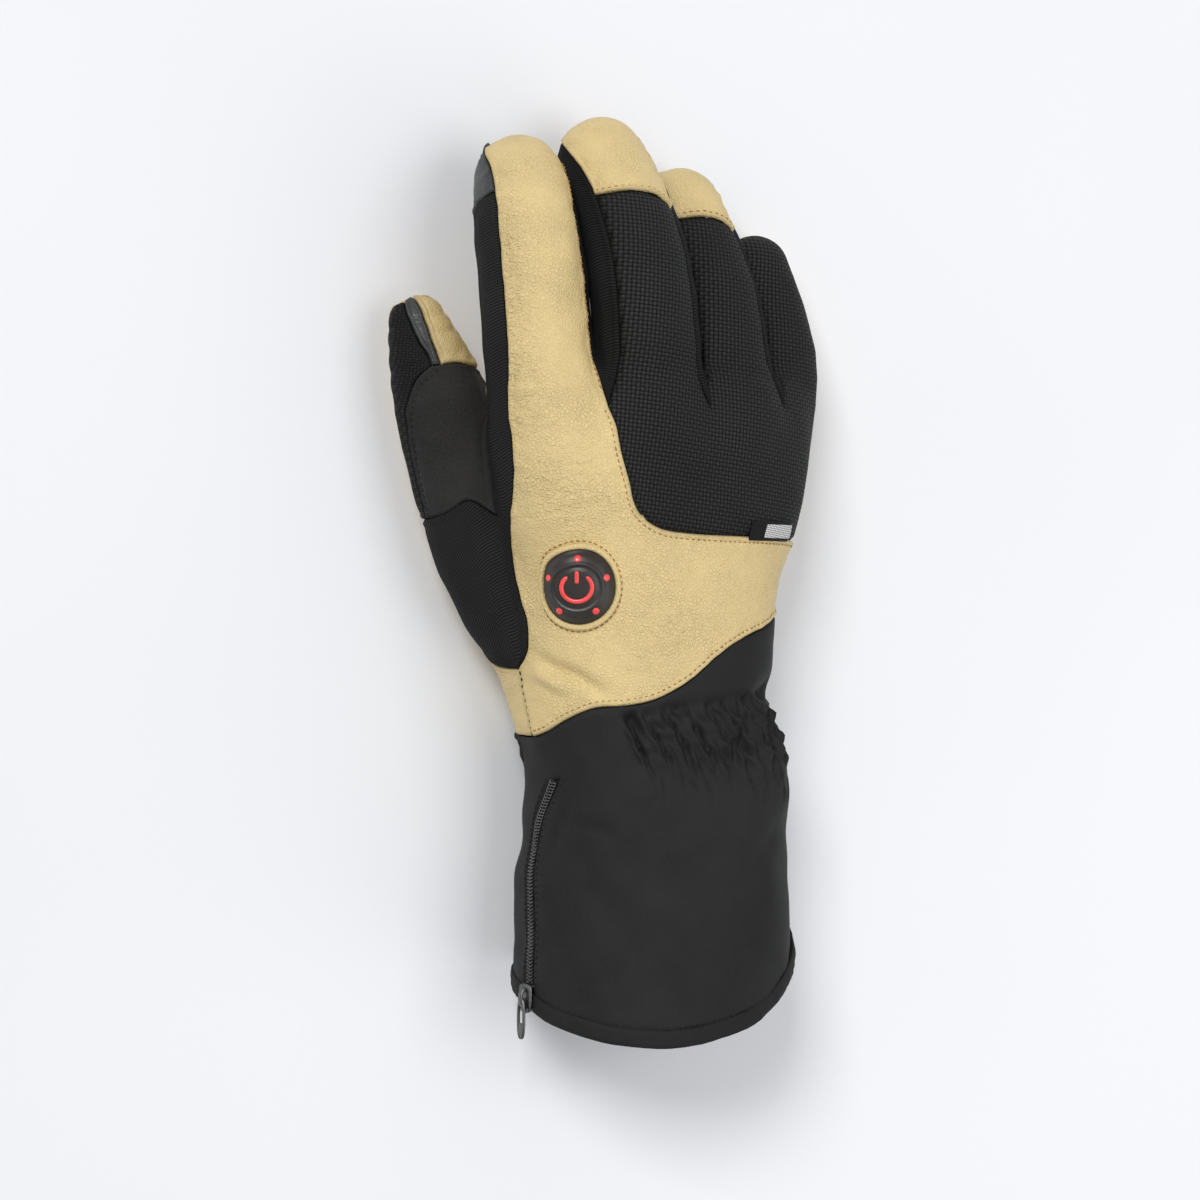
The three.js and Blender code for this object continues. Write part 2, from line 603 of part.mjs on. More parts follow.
// Seams across the hand
const thumbWeb = (angle) => onWeb('index', 'thumb', 0.35, angle);
const wristPoint = onHand(0.075, -81);
const thumbTop = thumbWeb(97);
const thumbCrotch = thumbWeb(0);
const rimPoint = (angle) => {
  const [, top] = rowWhere(cuffEdges, angle);
  return onHand(top, angle);
};
const rimAngles = (from, to) => Array.from({ length: 13 }, (_, k) => mix(from, to, k / 12));
const wrapAngle = (angle) => (angle > 180 ? angle - 360 : angle);
const backRim = seam(...rimAngles(-77, 90).map(rimPoint));
const palmRim = seam(...rimAngles(283, 90).map((angle) => rimPoint(wrapAngle(angle))));
const seams = {
  // index side of the back leather: from the finger down to the wrist point, then on to the cuff
  indexSide: seam(strips.index.backLeft[0],
    ...onDigitRows('index', [0.9, -58], [0.5, -60]), onHand(0.322, -83),
    ...onHandRows([0.264, -90], [0.213, -86], [0.18, -80], [0.134, -73], [0.096, -75]), wristPoint),
  wristSide: seam(wristPoint, ...onHandRows([0.041, -78], [0.018, -76], [-0.018, -76]), rimPoint(-77)),
  // lower edge of the woven back
  fabric: seam(webs.index[0],
    ...onHandRows([0.48, -25.5], [0.426, -23.5], [0.386, -21.6], [0.351, -20.1], [0.33, -17.8],
      [0.315, -13.5], [0.305, -8], [0.3, 1], [0.297, 15.5], [0.295, 31], [0.2925, 54], [0.29, 72],
      [0.2875, 85])),
  outerSide: seam(rimPoint(90), onHand(0.235, 87), onHand(0.2875, 85), onHand(0.35, 84), onHand(0.41, 84),
    strips.little.backRight[0]),
  // index finger's inner side down to the web with the thumb, and that web's groove
  indexPalm: seam(...onDigitRows('index', [4.15, -105], [3, -105], [2, -106], [1.2, -108]), thumbCrotch),
  groove: seam(thumbCrotch, thumbWeb(35), thumbWeb(70), thumbTop),
  // thumb
  thumbBase: seam(thumbCrotch, thumbWeb(-45), thumbWeb(-90),
    ...onDigitRows('thumb', [2.1, 150], [1.6, 190], [1.35, 235])),
  thumbOuter: seam(wristPoint, onDigit('thumb', 1.03, -74), onDigit('thumb', 1.15, -105),
    ...onDigitRows('thumb', [1.35, -125], [2, -125], [2.62, -125], [3.5, -125], [4.5, -125], [5.4, -122],
      [6, -118, 20],
      [6, -115, 50])),
  suedeFoot: seam(thumbTop, ...onDigitRows('thumb', [2.68, -23], [2.63, -50], [2.62, -86], [2.62, -105],
    [2.62, -125])),
  suedeOuter: seam(...onDigitRows('thumb', [2.62, -86], [3.3, -82], [4, -71], [4.5, -52], [4.7, -38],
    [4.85, -17],
    [5.5, -26], [6, -36, 25], [6, -46, 62])),
  suedeTop: seam(...onDigitRows('thumb', [4.85, -17], [4.8, -4], [4.75, 16], [4.6, 37], [4.45, 66])),
  thumbInner: seam(thumbCrotch,
    ...onDigitRows('thumb', [3.8, 66], [4.45, 66], [5, 68], [5.6, 72], [6, 76, 20], [6, 80, 50])),
  thumbTip: seam(...onDigitRows('thumb', [6, -115, 50], [6, -46, 62], [6, 0, 72], [6, 80, 50])),
  thumbMiddle: seam(onDigit('thumb', 2.1, 150),
    ...onDigitRows('thumb', [3, 150], [4, 150], [5, 150], [6, 150, 15],
    [6, 150, 70], [6, 0, 72])),
  touchBand: seam(...onDigitRows('thumb', [4.8, -4], [5.5, -3], [6, 0, 25], [6, 0, 72])),
};

// Straight line in a chart between two points on the surface
const across = (chart, a, b, count, turn = 0) => {
  const read = chart.read(turn);
  const [from, to] = [read(a), read(b)];
  return Array.from({ length: count + 1 }, (_, k) => {
    if (k === 0) return a;
    if (k === count) return b;
    return chart.write(from.map((value, n) => mix(value, to[n], k / count)));
  });
};
const charts = Object.fromEntries(Object.keys(digits).map((name) => [name, digitChart(name)]));

// Base lines of the fingers, shared by the finger and the hand
const indexPalm = [...seams.indexPalm.cut(0, 3, faces.low),
  ...seams.indexPalm.cut(3, 4, faces.web).slice(1)];
const bases = {};
for (const name of fingers) {
  const { backLeft, backRight, palmLeft, palmRight } = strips[name];
  bases[name] = {
    back: across(charts[name], backLeft[0], backRight[0], faces.back),
    palm: across(charts[name], palmLeft ? palmLeft[0] : indexPalm[faces.low], palmRight[0], faces.palm),
  };
}

// Backs of the fingers; the middle and ring fingers have a leather cap at the tip
const fingerBacks = {};
for (const name of fingers) {
  const { backLeft, backRight, tip } = strips[name];
  const tipLine = tip.whole(faces.back);
  const start = bases[name].back;
  if (name === 'index' || name === 'little') {
    fingerBacks[name] = patch(charts[name], { left: backLeft, right: backRight, start, end: tipLine });
    continue;
  }
  const capLine = across(charts[name], backLeft[faces.low], backRight[faces.low], faces.back);
  fingerBacks[name] = patch(charts[name], { left: lowPart(backLeft), right: lowPart(backRight), start,
    end: capLine });
  add(`${name}_cap`, 'tan', leather([
    patch(charts[name], { left: capPart(backLeft), right: capPart(backRight), start: capLine,
      end: tipLine })]));
}

// Woven back: the hand below three fingers, and the backs of those fingers
const wovenColumns = 3 * faces.back;
const fabricLeft = seams.fabric.cut(0, 5, faces.column);
const fabricFoot = seams.fabric.cut(5, 13, wovenColumns);
const outerUpper = seams.outerSide.cut(2, 5, faces.column);
const knuckles = ['middle', 'ring', 'little'].flatMap((name, k) => bases[name].back.slice(k ? 1 : 0));
const wovenTrunk = patch(handChart, { left: [...fabricLeft].reverse(), right: outerUpper,
  start: fabricFoot, end: knuckles });
add('back_fabric', 'woven', shell([wovenTrunk, fingerBacks.middle, fingerBacks.ring, fingerBacks.little]));

// Back leather: the index strip, the column beside the woven back, and the band across the wrist
const sideColumn = seams.indexSide.cut(0, 3, faces.column);
const sideWedge = seams.indexSide.cut(3, 9, faces.wedge);
const sideWrist = seams.wristSide.whole(faces.wrist);
const columnFoot = across(handChart, sideColumn[faces.column], fabricLeft[faces.column], faces.back);
const leatherColumn = patch(handChart, { left: sideColumn, right: fabricLeft,
  start: bases.index.back, end: columnFoot });
const outerLower = seams.outerSide.cut(0, 2, faces.wedge + faces.wrist).reverse();
const leatherBand = patch(handChart, { left: [...sideWedge, ...sideWrist.slice(1)], right: outerLower,
  start: [...columnFoot, ...fabricFoot.slice(1)], end: backRim.whole(faces.back + wovenColumns) });
add('back_leather', 'tan', leather([fingerBacks.index, leatherColumn, leatherBand]));

// Knit side of the index finger, down over the base of the thumb to the wrist point
const groove = seams.groove.whole(faces.groove);
const indexEdge = strips.index.backLeft;
const gussetTop = across(charts.index, indexEdge[faces.low], indexPalm[0], faces.side);
const gussetFoot = across(charts.index, sideColumn[faces.column], thumbTop, faces.side);
const gusset = patch(charts.index, { left: [...lowPart(indexEdge).reverse(), ...sideColumn.slice(1)],
  right: [...indexPalm, ...groove.slice(1)], start: gussetTop, end: gussetFoot });
const suedeFoot = seams.suedeFoot.cut(0, 3, faces.suede);
const knitFoot = seams.suedeFoot.cut(3, 5, faces.knitSide);
const thumbFoot = [...gussetFoot, ...suedeFoot.slice(1), ...knitFoot.slice(1)];
const outerHill = seams.thumbOuter.cut(0, 3, faces.hill);
const outerLow = seams.thumbOuter.cut(3, 5, faces.wedge - faces.hill);
const thumbWedge = patch(charts.thumb, { left: sideWedge,
  right: [...outerHill, ...outerLow.slice(1)].reverse(), start: thumbFoot,
    end: thumbFoot.map(() => wristPoint) });
add('index_gusset', 'knit', knit([gusset, thumbWedge], wide));

// Glossy leather on the index fingertip, for touch screens
const touchMiddle = seam(...onDigitRows('index', [4.15, -105], [4.7, -108], [5, -115, 20], [5, -130, 60],
  [5, 0, 80]))
  .whole(faces.cap);
const touchRight = capPart(strips.index.palmRight);
const palmCap = across(charts.index, indexPalm[0], touchRight[0], faces.palm);
add('index_touch_tip', 'glossy', leather([
  patch(charts.index, { left: capPart(indexEdge), right: touchMiddle, start: gussetTop,
    end: strips.index.tip.cut(0, 1, faces.side) }),
  patch(charts.index, { left: touchMiddle, right: touchRight, start: palmCap,
    end: strips.index.tip.cut(1, 2, faces.palm) })]));

// Knit strips between neighbouring fingers: two sides joined at the web
for (const [a, b] of [['index', 'middle'], ['middle', 'ring'], ['ring', 'little']]) {
  const tipOf = (name, k) => Array(faces.side + 1).fill(strips[name].tip.points[k]);
  add(`fourchette_${a}_${b}`, 'knit', knit([
    patch(charts[a], { left: strips[a].backRight, right: strips[a].palmRight, start: webs[a],
      end: tipOf(a, 2) }),
    patch(charts[b], { left: strips[b].backLeft, right: strips[b].palmLeft, start: webs[a],
      end: tipOf(b, 0) })]));
}

// Thumb: knit outside, suede panel, touch band and tan leather at the tip, tan leather below
const suedeRows = faces.groove + faces.suedeInner;
const suedeEdge = seams.suedeOuter.cut(0, 5, suedeRows);
const bandEdge = seams.suedeOuter.cut(5, 8, faces.thumbTip);
const outerKnit = seams.thumbOuter.cut(5, 10, suedeRows + faces.thumbTip);
add('thumb_knit', 'knit', knit([patch(charts.thumb, { left: outerKnit, right: [...suedeEdge,
  ...bandEdge.slice(1)],
  start: [...knitFoot].reverse(), end: seams.thumbTip.cut(0, 1, faces.knitSide) })]));
add('thumb_suede', 'suede', leather([patch(charts.thumb, { left: suedeEdge,
  right: [...[...groove].reverse(), ...seams.thumbInner.cut(0, 2, faces.suedeInner).slice(1)],
  start: [...suedeFoot].reverse(), end: seams.suedeTop.whole(faces.suede) })], wide));
const touchBand = seams.touchBand.whole(faces.thumbTip);
add('thumb_touch_band', 'glossy', leather([patch(charts.thumb, { left: bandEdge, right: touchBand,
  start: seams.suedeTop.cut(0, 1, 1), end: seams.thumbTip.cut(1, 2, 1) })]));
add('thumb_tip_leather', 'tan', leather([patch(charts.thumb, { left: touchBand,
  right: seams.thumbInner.cut(2, 6, faces.thumbTip), start: seams.suedeTop.cut(1, 4, 3),
  end: seams.thumbTip.cut(2, 3, 3) })]));
const palmThumb = [...outerLow, ...outerKnit.slice(1)];
const palmThumbRows = palmThumb.length - 1;
const innerThumb = [...seams.thumbInner.cut(0, 2, palmThumbRows - 2 * faces.thumbTip),
  ...seams.thumbInner.cut(2, 6, 2 * faces.thumbTip).slice(1)];
const middleThumb = seams.thumbMiddle.whole(palmThumbRows);
const baseInner = seams.thumbBase.cut(0, 3, faces.baseInner);
const baseOuter = seams.thumbBase.cut(3, 5, faces.baseOuter);
add('thumb_palm', 'tan', leather([
  patch(charts.thumb, { left: innerThumb, right: middleThumb, start: baseInner,
    end: seams.thumbTip.cut(2, 3, faces.baseInner).reverse() }),
  patch(charts.thumb, { left: middleThumb, right: palmThumb, start: baseOuter,
    end: seams.thumbTip.cut(0, 2, faces.baseOuter).reverse() })], wide));

// Palm leather: one trunk and the undersides of four fingers
const palmStrips = fingers.map((name) => {
  const { palmLeft, palmRight, tip } = strips[name];
  return patch(charts[name], name === 'index'
    ? { left: indexPalm.slice(0, faces.low + 1).reverse(), right: lowPart(palmRight),
      start: bases[name].palm, end: palmCap }
    : { left: palmLeft, right: palmRight, start: bases[name].palm, end: tip.whole(faces.palm) });
});
const palmTop = fingers.flatMap((name, k) => bases[name].palm.slice(k ? 1 : 0));
const palmTrunk = patch(handChart, { turn: 180, start: palmTop, end: palmRim.whole(4 * faces.palm),
  left: [...indexPalm.slice(faces.low), ...baseInner.slice(1), ...baseOuter.slice(1),
    ...[...outerHill].reverse().slice(1), ...sideWrist.slice(1)],
  right: [...[...outerUpper].reverse(), ...outerLower.slice(1)] });
const relief = new THREE.SphereGeometry(size.relief, 12, 8);
relief.translate(thumbCrotch.x, thumbCrotch.y, thumbCrotch.z);
add('palm_leather', 'tan', cut(leather([palmTrunk, ...palmStrips], wide), relief));

// Cuff: rows from the leather seam to the hem, columns closer together over the gathers
const gatherAngles = { from: -26, to: 62 };
const zipTop = 0.19;
const zipAt = (share) => rowWhere(zipRows, clamp(share, 0.15, 1))[1];
const zipHome = -80;
const zipHalf = THREE.MathUtils.radToDeg(size.zipOpening / 2 / size.cuffHalf);
const columnsIn = (from, to, count) => Array.from({ length: count }, (_, k) => mix(from, to, k / count));
const gatherColumns = 2 * size.gatherFolds;
const cuffColumns = [
  ...columnsIn(zipHome + zipHalf, gatherAngles.from, 6),
  ...columnsIn(gatherAngles.from, gatherAngles.to, gatherColumns),
  ...columnsIn(gatherAngles.to, 180, 11),
  ...columnsIn(180, 360 + zipHome - zipHalf, 9),
  360 + zipHome - zipHalf,
];
const cuffSteps = [0, 0.06, 0.12, 0.19, 0.26, 0.34, 0.44, 0.54, 0.64, 0.74, 0.84, 0.92, 1];
const hemAt = (angle) => rowWhere(cuffEdges, wrapAngle(angle))[2] * size.cuffLength;
const seamAt = (angle) => rowWhere(cuffEdges, wrapAngle(angle))[1] * size.handLength;
function followZip(column, share) {
  const near = smooth(1 - Math.abs(((column - zipHome + 540) % 360) - 180) / 70, 0, 1);
  return column + (zipAt(share) - zipHome) * near;
}
function onCuff(column, step, trim = 0) {
  const y = mix(seamAt(followZip(column, 0)), hemAt(followZip(column, 1)) + trim, step);
  return onHand(y / size.handLength, followZip(column, -y / size.cuffLength));
}
function gatherLift(p) {
  const [share, angle] = handChart.read(0)(p);
  const y = share * size.handLength;
  const top = seamAt(angle);
  const reach = smooth(top - y, 0, 7) * smooth(y + 34, 0, 24);
  const phase = (angle - gatherAngles.from) / (gatherAngles.to - gatherAngles.from);
  if (phase <= 0 || phase >= 1) return 0;
  return -size.gatherDepth * reach * Math.sin(Math.PI * phase) ** 0.5
    * (0.5 - 0.5 * Math.cos(2 * Math.PI * size.gatherFolds * phase));
}
const bindingTrim = size.bindingDepth;
const zipRow = 2;
const cuffGrid = cuffSteps.map((step) => cuffColumns.map((column) => onCuff(column, step, bindingTrim)));
const slotRight = cuffGrid.map((line) => line[0]);
const slotLeft = cuffGrid.map((line) => line[line.length - 1]);
const aboveZip = cuffGrid.slice(0, zipRow + 1).map((_, k) => [slotLeft[k], slotRight[k]]);
add('cuff', 'softshell', sheet([cuffGrid, aboveZip], -size.shell, 0, { inset: () => size.cuffGap,
  lift: gatherLift }));

// Zip: a tape in the slot, the coil along its middle, and the slider with its pull at the hem
const slot = slotRight.slice(zipRow).map((right, k) => [slotLeft[k + zipRow], right]);
add('zip_tape', 'tape', sheet([slot], -size.zipTapeDrop - size.zipTape, -size.zipTapeDrop));
const slotMiddle = new Seam(slot.map(([a, b]) => a.clone().add(b).multiplyScalar(0.5)));
function ribbon(line, width) {
  return line.map((p, k) => {
    const along = line[Math.min(k + 1, line.length - 1)].clone().sub(line[Math.max(k - 1, 0)]).normalize();
    const side = gradient(p).normalize().cross(along).normalize().multiplyScalar(width / 2);
    return [p.clone().add(side), p.clone().sub(side)];
  });
}
const coilLow = -size.zipTapeDrop + size.seat;
const lastSlot = slot.length - 1;
add('zip_coil', 'tape', sheet([ribbon(slotMiddle.cut(0.15, lastSlot - 1.1, 12), size.coilWidth)],
  coilLow, coilLow + size.coilHeight, { inset: flush }));
const sliderLow = coilLow + size.coilHeight + size.seat;
const slotTail = slotMiddle.cut(lastSlot - 1.5, lastSlot, 1);
const slideAlong = slotTail[1].clone().sub(slotTail[0]).normalize();
const slideUp = gradient(slotTail[0]).normalize();
function block(width, length, height, start, low) {
  const side = slideUp.clone().cross(slideAlong).normalize();
  const box = new THREE.BoxGeometry(width, length, height);
  const upright = slideAlong.clone().cross(side).normalize();
  const place = new THREE.Matrix4().makeBasis(side, slideAlong,
    upright.dot(slideUp) > 0 ? upright : upright.negate());
  if (place.determinant() < 0) place.makeBasis(side.negate(), slideAlong, upright);
  const middle = slotTail[0].clone().addScaledVector(slideAlong, start + length / 2)
    .addScaledVector(slideUp, low + height / 2);
  return box.applyMatrix4(place).translate(middle.x, middle.y, middle.z);
}
add('zip_slider', 'metal', block(size.sliderWidth, size.sliderLength, size.sliderHeight, 0, sliderLow));
add('zip_pull', 'metal', block(size.pullWidth, size.pullLength, size.pullThickness, size.sliderLength / 2,
  sliderLow + size.sliderHeight + size.seat));

// Hem binding: a thicker band below the cuff, open at the zip like the cuff
const bindingGrid = [bindingTrim, 0].map((trim) => cuffColumns.map((column) => onCuff(column, 1, trim)));
add('hem_binding', 'binding', sheet([bindingGrid], -size.bindingWall + 0.5, 0.5));

// Button: a leather collar, a rubber dome, a ring of five marks and a plain on and off symbol
const buttonPlace = onHand(0.212, -44.6);
const buttonUp = gradient(buttonPlace).normalize();
const buttonRight = vector(0, 1, 0).cross(buttonUp).normalize();
const buttonAhead = buttonUp.clone().cross(buttonRight);
const onButton = (radius, angle) => press(buttonPlace.clone()
  .addScaledVector(buttonRight, radius * Math.cos(radians(angle)))
  .addScaledVector(buttonAhead, radius * Math.sin(radians(angle))));
const turnSteps = (from, to, count) => Array.from({ length: count + 1 }, (_, k) => mix(from, to, k / count));
const ringGrid = (radii, angles) => radii.map((radius) => angles.map((angle) => onButton(radius, angle)));
const round = turnSteps(0, 360, 28);
const buttonRadius = size.buttonDiameter / 2;
const collarOuter = buttonRadius + size.seat + size.collarWidth;
add('button_collar', 'tan', sheet([ringGrid([buttonRadius + size.seat, collarOuter], round)],
  size.seat, size.seat + size.collarHeight, { inset: flush }));
const domeHeight = (p) => {
  const share = clamp(p.distanceTo(buttonPlace) / buttonRadius, 0, 1);
  return size.buttonHeight * (1 - share ** 4);
};
const domeRings = [0, 0.3, 0.55, 0.75, 0.9, 1].map((share) => share * buttonRadius);
function domeSheet() {
  const grid = ringGrid(domeRings, turnSteps(0, 360, 24));
  return sheet([grid], size.seat, size.seat + size.buttonWall, { inset: flush, lift: domeHeight });
}
add('button_dome', 'rubber', domeSheet());
const markLow = size.seat + size.buttonWall + size.seat;
const onDome = (grid) => sheet([grid], markLow, markLow + size.markHeight, { inset: flush,
  lift: domeHeight });
const markCircle = 0.78 * buttonRadius;
const markSpread = THREE.MathUtils.radToDeg(size.markDiameter / 2 / markCircle);
for (let k = 0; k < 5; k += 1) {
  const angle = 90 + 72 * k;
  const radii = turnSteps(markCircle - size.markDiameter / 2, markCircle + size.markDiameter / 2, 2);
  add(`button_mark_${k + 1}`, 'red', onDome(ringGrid(radii, turnSteps(angle - markSpread,
    angle + markSpread, 2))));
}
const symbolRadius = size.symbolDiameter / 2;
const arcRadii = [symbolRadius - size.symbolLine / 2, symbolRadius + size.symbolLine / 2];
add('power_arc', 'red', onDome(ringGrid(arcRadii, turnSteps(125, 415, 16))));
const barLine = turnSteps(0.25 * symbolRadius, 1.25 * symbolRadius, 2).map((y) =>
  [-1, 1].map((k) => press(buttonPlace.clone()
  .addScaledVector(buttonRight, k * size.symbolLine / 2).addScaledVector(buttonAhead, y))));
add('power_bar', 'red', onDome(barLine));

// Side label: a plain pale band over the end of the back seam
const labelGrid = turnSteps(0, 1, 4).map((t) => [-0.5, 0.5].map((k) => {
  const turn = 30 + THREE.MathUtils.radToDeg(size.labelLength / size.palmHalf) * t;
  return onHand(0.3055 + k * size.labelWidth / size.handLength, turn);
}));
add('side_label', 'pale', sheet([labelGrid], size.seat, size.seat + size.labelThickness, { inset: flush }));

// The glove stands on the floor with its middle over the origin
const bounds = new THREE.Box3().setFromObject(glove);
const middle = bounds.getCenter(new THREE.Vector3());
glove.position.set(-middle.x, -middle.y, -bounds.min.z);

export default glove;
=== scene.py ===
"""The looks of a heated gauntlet glove for the right hand, lying palm down.

Lengths of the glove's shape are in millimetres in the glove's own axes: y = 0 at the wrist gathers,
+y to the fingertips, +x to the little finger, the floor at z = 0. to_frame() brings them to metres.
"""
import math

import bpy
import numpy as np
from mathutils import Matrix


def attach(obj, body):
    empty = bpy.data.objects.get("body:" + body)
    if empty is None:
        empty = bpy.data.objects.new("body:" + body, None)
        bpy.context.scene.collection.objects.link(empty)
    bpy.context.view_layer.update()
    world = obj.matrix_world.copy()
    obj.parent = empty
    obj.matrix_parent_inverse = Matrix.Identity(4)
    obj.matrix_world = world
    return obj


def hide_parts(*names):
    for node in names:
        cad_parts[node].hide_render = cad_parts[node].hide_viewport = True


bl_info = {
    "name": "Heated glove",
    "version": (1, 0, 0),
    "blender": (4, 5, 0),
    "location": "View3D > Sidebar > Glove",
    "description": "Leather, knit and cloth of a heated gauntlet glove",
    "category": "Object",
}

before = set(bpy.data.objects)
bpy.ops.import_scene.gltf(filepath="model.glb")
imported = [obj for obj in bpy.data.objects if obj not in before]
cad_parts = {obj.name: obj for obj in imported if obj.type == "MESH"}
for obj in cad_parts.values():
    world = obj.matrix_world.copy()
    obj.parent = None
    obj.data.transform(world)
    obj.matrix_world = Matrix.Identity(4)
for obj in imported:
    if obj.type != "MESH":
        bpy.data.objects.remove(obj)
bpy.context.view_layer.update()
MM = 0.001
ORIGIN = np.array([5.218, -46.828, 0.0])  # the wrist gathers' middle in the frame

# Driving sizes of the stuffed glove, in millimetres
HAND_LENGTH = 200.0
PALM_HALF = 53.0
HAND_HEIGHT = 68.0
HAND_DEPTH = 34.0
FINGER_RADIUS = 18.0
FINGER_GAP = 1.4
CUFF_LENGTH = 110.0
CUFF_HALF = 48.0
CUFF_DEPTH = 36.0

# Columns: x as a share of PALM_HALF, y of HAND_LENGTH, z of HAND_HEIGHT, r of FINGER_RADIUS
DIGIT_ROWS = {
    "index": [
        [-0.623, 0.350, 0.618, 1.056],
        [-0.698, 0.480, 0.662, 1.044],
        [-0.770, 0.610, 0.669, 0.989],
        [-0.796, 0.730, 0.640, 0.967],
        [-0.800, 0.824, 0.559, 0.933],
        [-0.781, 0.887, 0.456, 0.844],
    ],
    "middle": [
        [-0.113, 0.370, 0.662, 1.056],
        [-0.085, 0.500, 0.721, 1.017],
        [-0.079, 0.610, 0.757, 0.961],
        [-0.094, 0.740, 0.691, 0.922],
        [-0.132, 0.854, 0.522, 0.878],
        [-0.179, 0.933, 0.353, 0.800],
    ],
    "ring": [
        [0.415, 0.360, 0.603, 1.000],
        [0.491, 0.490, 0.603, 0.956],
        [0.540, 0.590, 0.566, 0.883],
        [0.547, 0.700, 0.471, 0.833],
        [0.498, 0.795, 0.338, 0.789],
        [0.443, 0.865, 0.224, 0.744],
    ],
    "little": [
        [0.755, 0.320, 0.500, 0.833],
        [0.896, 0.430, 0.456, 0.833],
        [1.030, 0.530, 0.382, 0.789],
        [1.075, 0.610, 0.316, 0.772],
        [1.057, 0.690, 0.229, 0.733],
        [0.996, 0.763, 0.182, 0.689],
    ],
    "thumb": [
        [-0.264, 0.040, 0.412, 1.000],
        [-0.566, 0.130, 0.353, 1.111],
        [-0.887, 0.270, 0.309, 1.056],
        [-1.066, 0.400, 0.279, 0.983],
        [-1.198, 0.515, 0.250, 0.889],
        [-1.289, 0.590, 0.235, 0.722],
        [-1.362, 0.652, 0.228, 0.511],
    ],
}
# Columns: y as a share of HAND_LENGTH, middle x of PALM_HALF, middle z of HAND_HEIGHT,
# half width of PALM_HALF, half thickness of HAND_DEPTH, slope of the back across the hand
HAND_ROWS = [
    [-0.070, 0.132, 0.478, 0.858, 0.941, 0.00],
    [-0.020, 0.064, 0.471, 0.853, 0.921, 0.00],
    [0.030, 0.013, 0.471, 0.838, 0.912, 0.00],
    [0.080, 0.030, 0.485, 0.868, 0.912, -0.02],
    [0.130, 0.034, 0.500, 0.879, 0.897, -0.04],
    [0.180, 0.038, 0.522, 0.879, 0.882, -0.06],
    [0.240, 0.049, 0.551, 0.896, 0.838, -0.08],
    [0.300, 0.053, 0.574, 0.925, 0.794, -0.10],
    [0.380, 0.064, 0.596, 0.981, 0.750, -0.11],
    [0.460, 0.057, 0.610, 1.000, 0.691, -0.12],
    [0.520, 0.075, 0.618, 0.972, 0.559, -0.13],
    [0.570, 0.075, 0.618, 0.887, 0.353, -0.13],
]
# Columns: distance toward the hem as a share of CUFF_LENGTH, middle x of PALM_HALF,
# middle z of HAND_HEIGHT, half width of CUFF_HALF, half thickness of CUFF_DEPTH
CUFF_ROWS = [
    [1.364, 0.121, 0.478, 1.004, 1.014],
    [0.800, 0.121, 0.478, 1.004, 1.003],
    [0.682, 0.119, 0.478, 0.987, 1.000],
    [0.582, 0.111, 0.478, 0.967, 0.994],
    [0.491, 0.109, 0.475, 0.950, 0.986],
    [0.400, 0.132, 0.471, 0.933, 0.986],
    [0.309, 0.143, 0.468, 0.944, 0.972],
    [0.218, 0.157, 0.463, 0.952, 0.958],
]
# Columns: angle round the wrist from the top toward the little finger in degrees,
# the leather seam's y as a share of HAND_LENGTH, the hem's y as a share of CUFF_LENGTH
CUFF_EDGES = [
    [-180, 0.025, -0.765],
    [-135, -0.020, -0.800],
    [-100, -0.037, -0.850],
    [-77, -0.037, -0.890],
    [-65, -0.029, -0.915],
    [-52, -0.010, -0.940],
    [-42, 0.006, -0.958],
    [-33, 0.014, -0.972],
    [-14, 0.020, -0.987],
    [1, 0.042, -0.980],
    [10, 0.067, -0.966],
    [19, 0.098, -0.950],
    [30, 0.124, -0.920],
    [53, 0.150, -0.820],
    [90, 0.180, -0.680],
    [135, 0.100, -0.705],
    [180, 0.025, -0.765],
]
# Columns: distance toward the hem as a share of CUFF_LENGTH, the zip's angle round the cuff
ZIP_ROWS = [
    [0.150, -62],
    [0.260, -74],
    [0.350, -83],
    [0.430, -86],
    [0.530, -83],
    [0.660, -80],
    [0.800, -79],
    [1.000, -80],
]


def clamp01(x):
    """x held between 0 and 1."""
    return np.clip(x, 0.0, 1.0)


def smooth(x, low, high):
    """0 below low, 1 above high, 3t^2 - 2t^3 between."""
    t = clamp01((x - low) / (high - low))
    return t * t * (3 - 2 * t)


def unit(v):
    """Vectors of length 1 in the same directions."""
    return v / np.maximum(np.linalg.norm(v, axis=-1, keepdims=True), 1e-12)


def row_at(rows, t):
    """Catmull-Rom through the table's rows, at row numbers t: one result row for each t."""
    rows = np.asarray(rows, float)
    t = np.asarray(t, float)
    last = len(rows) - 1
    i = np.clip(np.floor(t).astype(int), 0, last - 1)
    f = (t - i)[..., None]
    a, b, c, d = (rows[np.clip(i + k, 0, last)] for k in (-1, 0, 1, 2))
    return 0.5 * (2 * b + (c - a) * f
                  + (2 * a - 5 * b + 4 * c - d) * f**2
                  + (3 * b - a - 3 * c + d) * f**3)


def row_where(rows, value, column=0):
    """The same curve, looked up by the value in one column, which only rises or only falls."""
    dense = row_at(rows, np.linspace(0, len(rows) - 1, 1200))
    if dense[-1, column] < dense[0, column]:
        dense = dense[::-1]
    return np.stack([np.interp(value, dense[:, column], dense[:, k]) for k in range(dense.shape[1])], -1)


DIGITS = {
    name: np.array(rows) * [PALM_HALF, HAND_LENGTH, HAND_HEIGHT, FINGER_RADIUS]
    for name, rows in DIGIT_ROWS.items()
}
FINGERS = ["index", "middle", "ring", "little"]


def ball_chain(name):
    """Balls along a digit's middle line, two for each row of its table."""
    last = len(DIGITS[name]) - 1
    return row_at(DIGITS[name], np.arange(2 * last + 1) / 2)


BALLS = {name: ball_chain(name) for name in DIGITS}


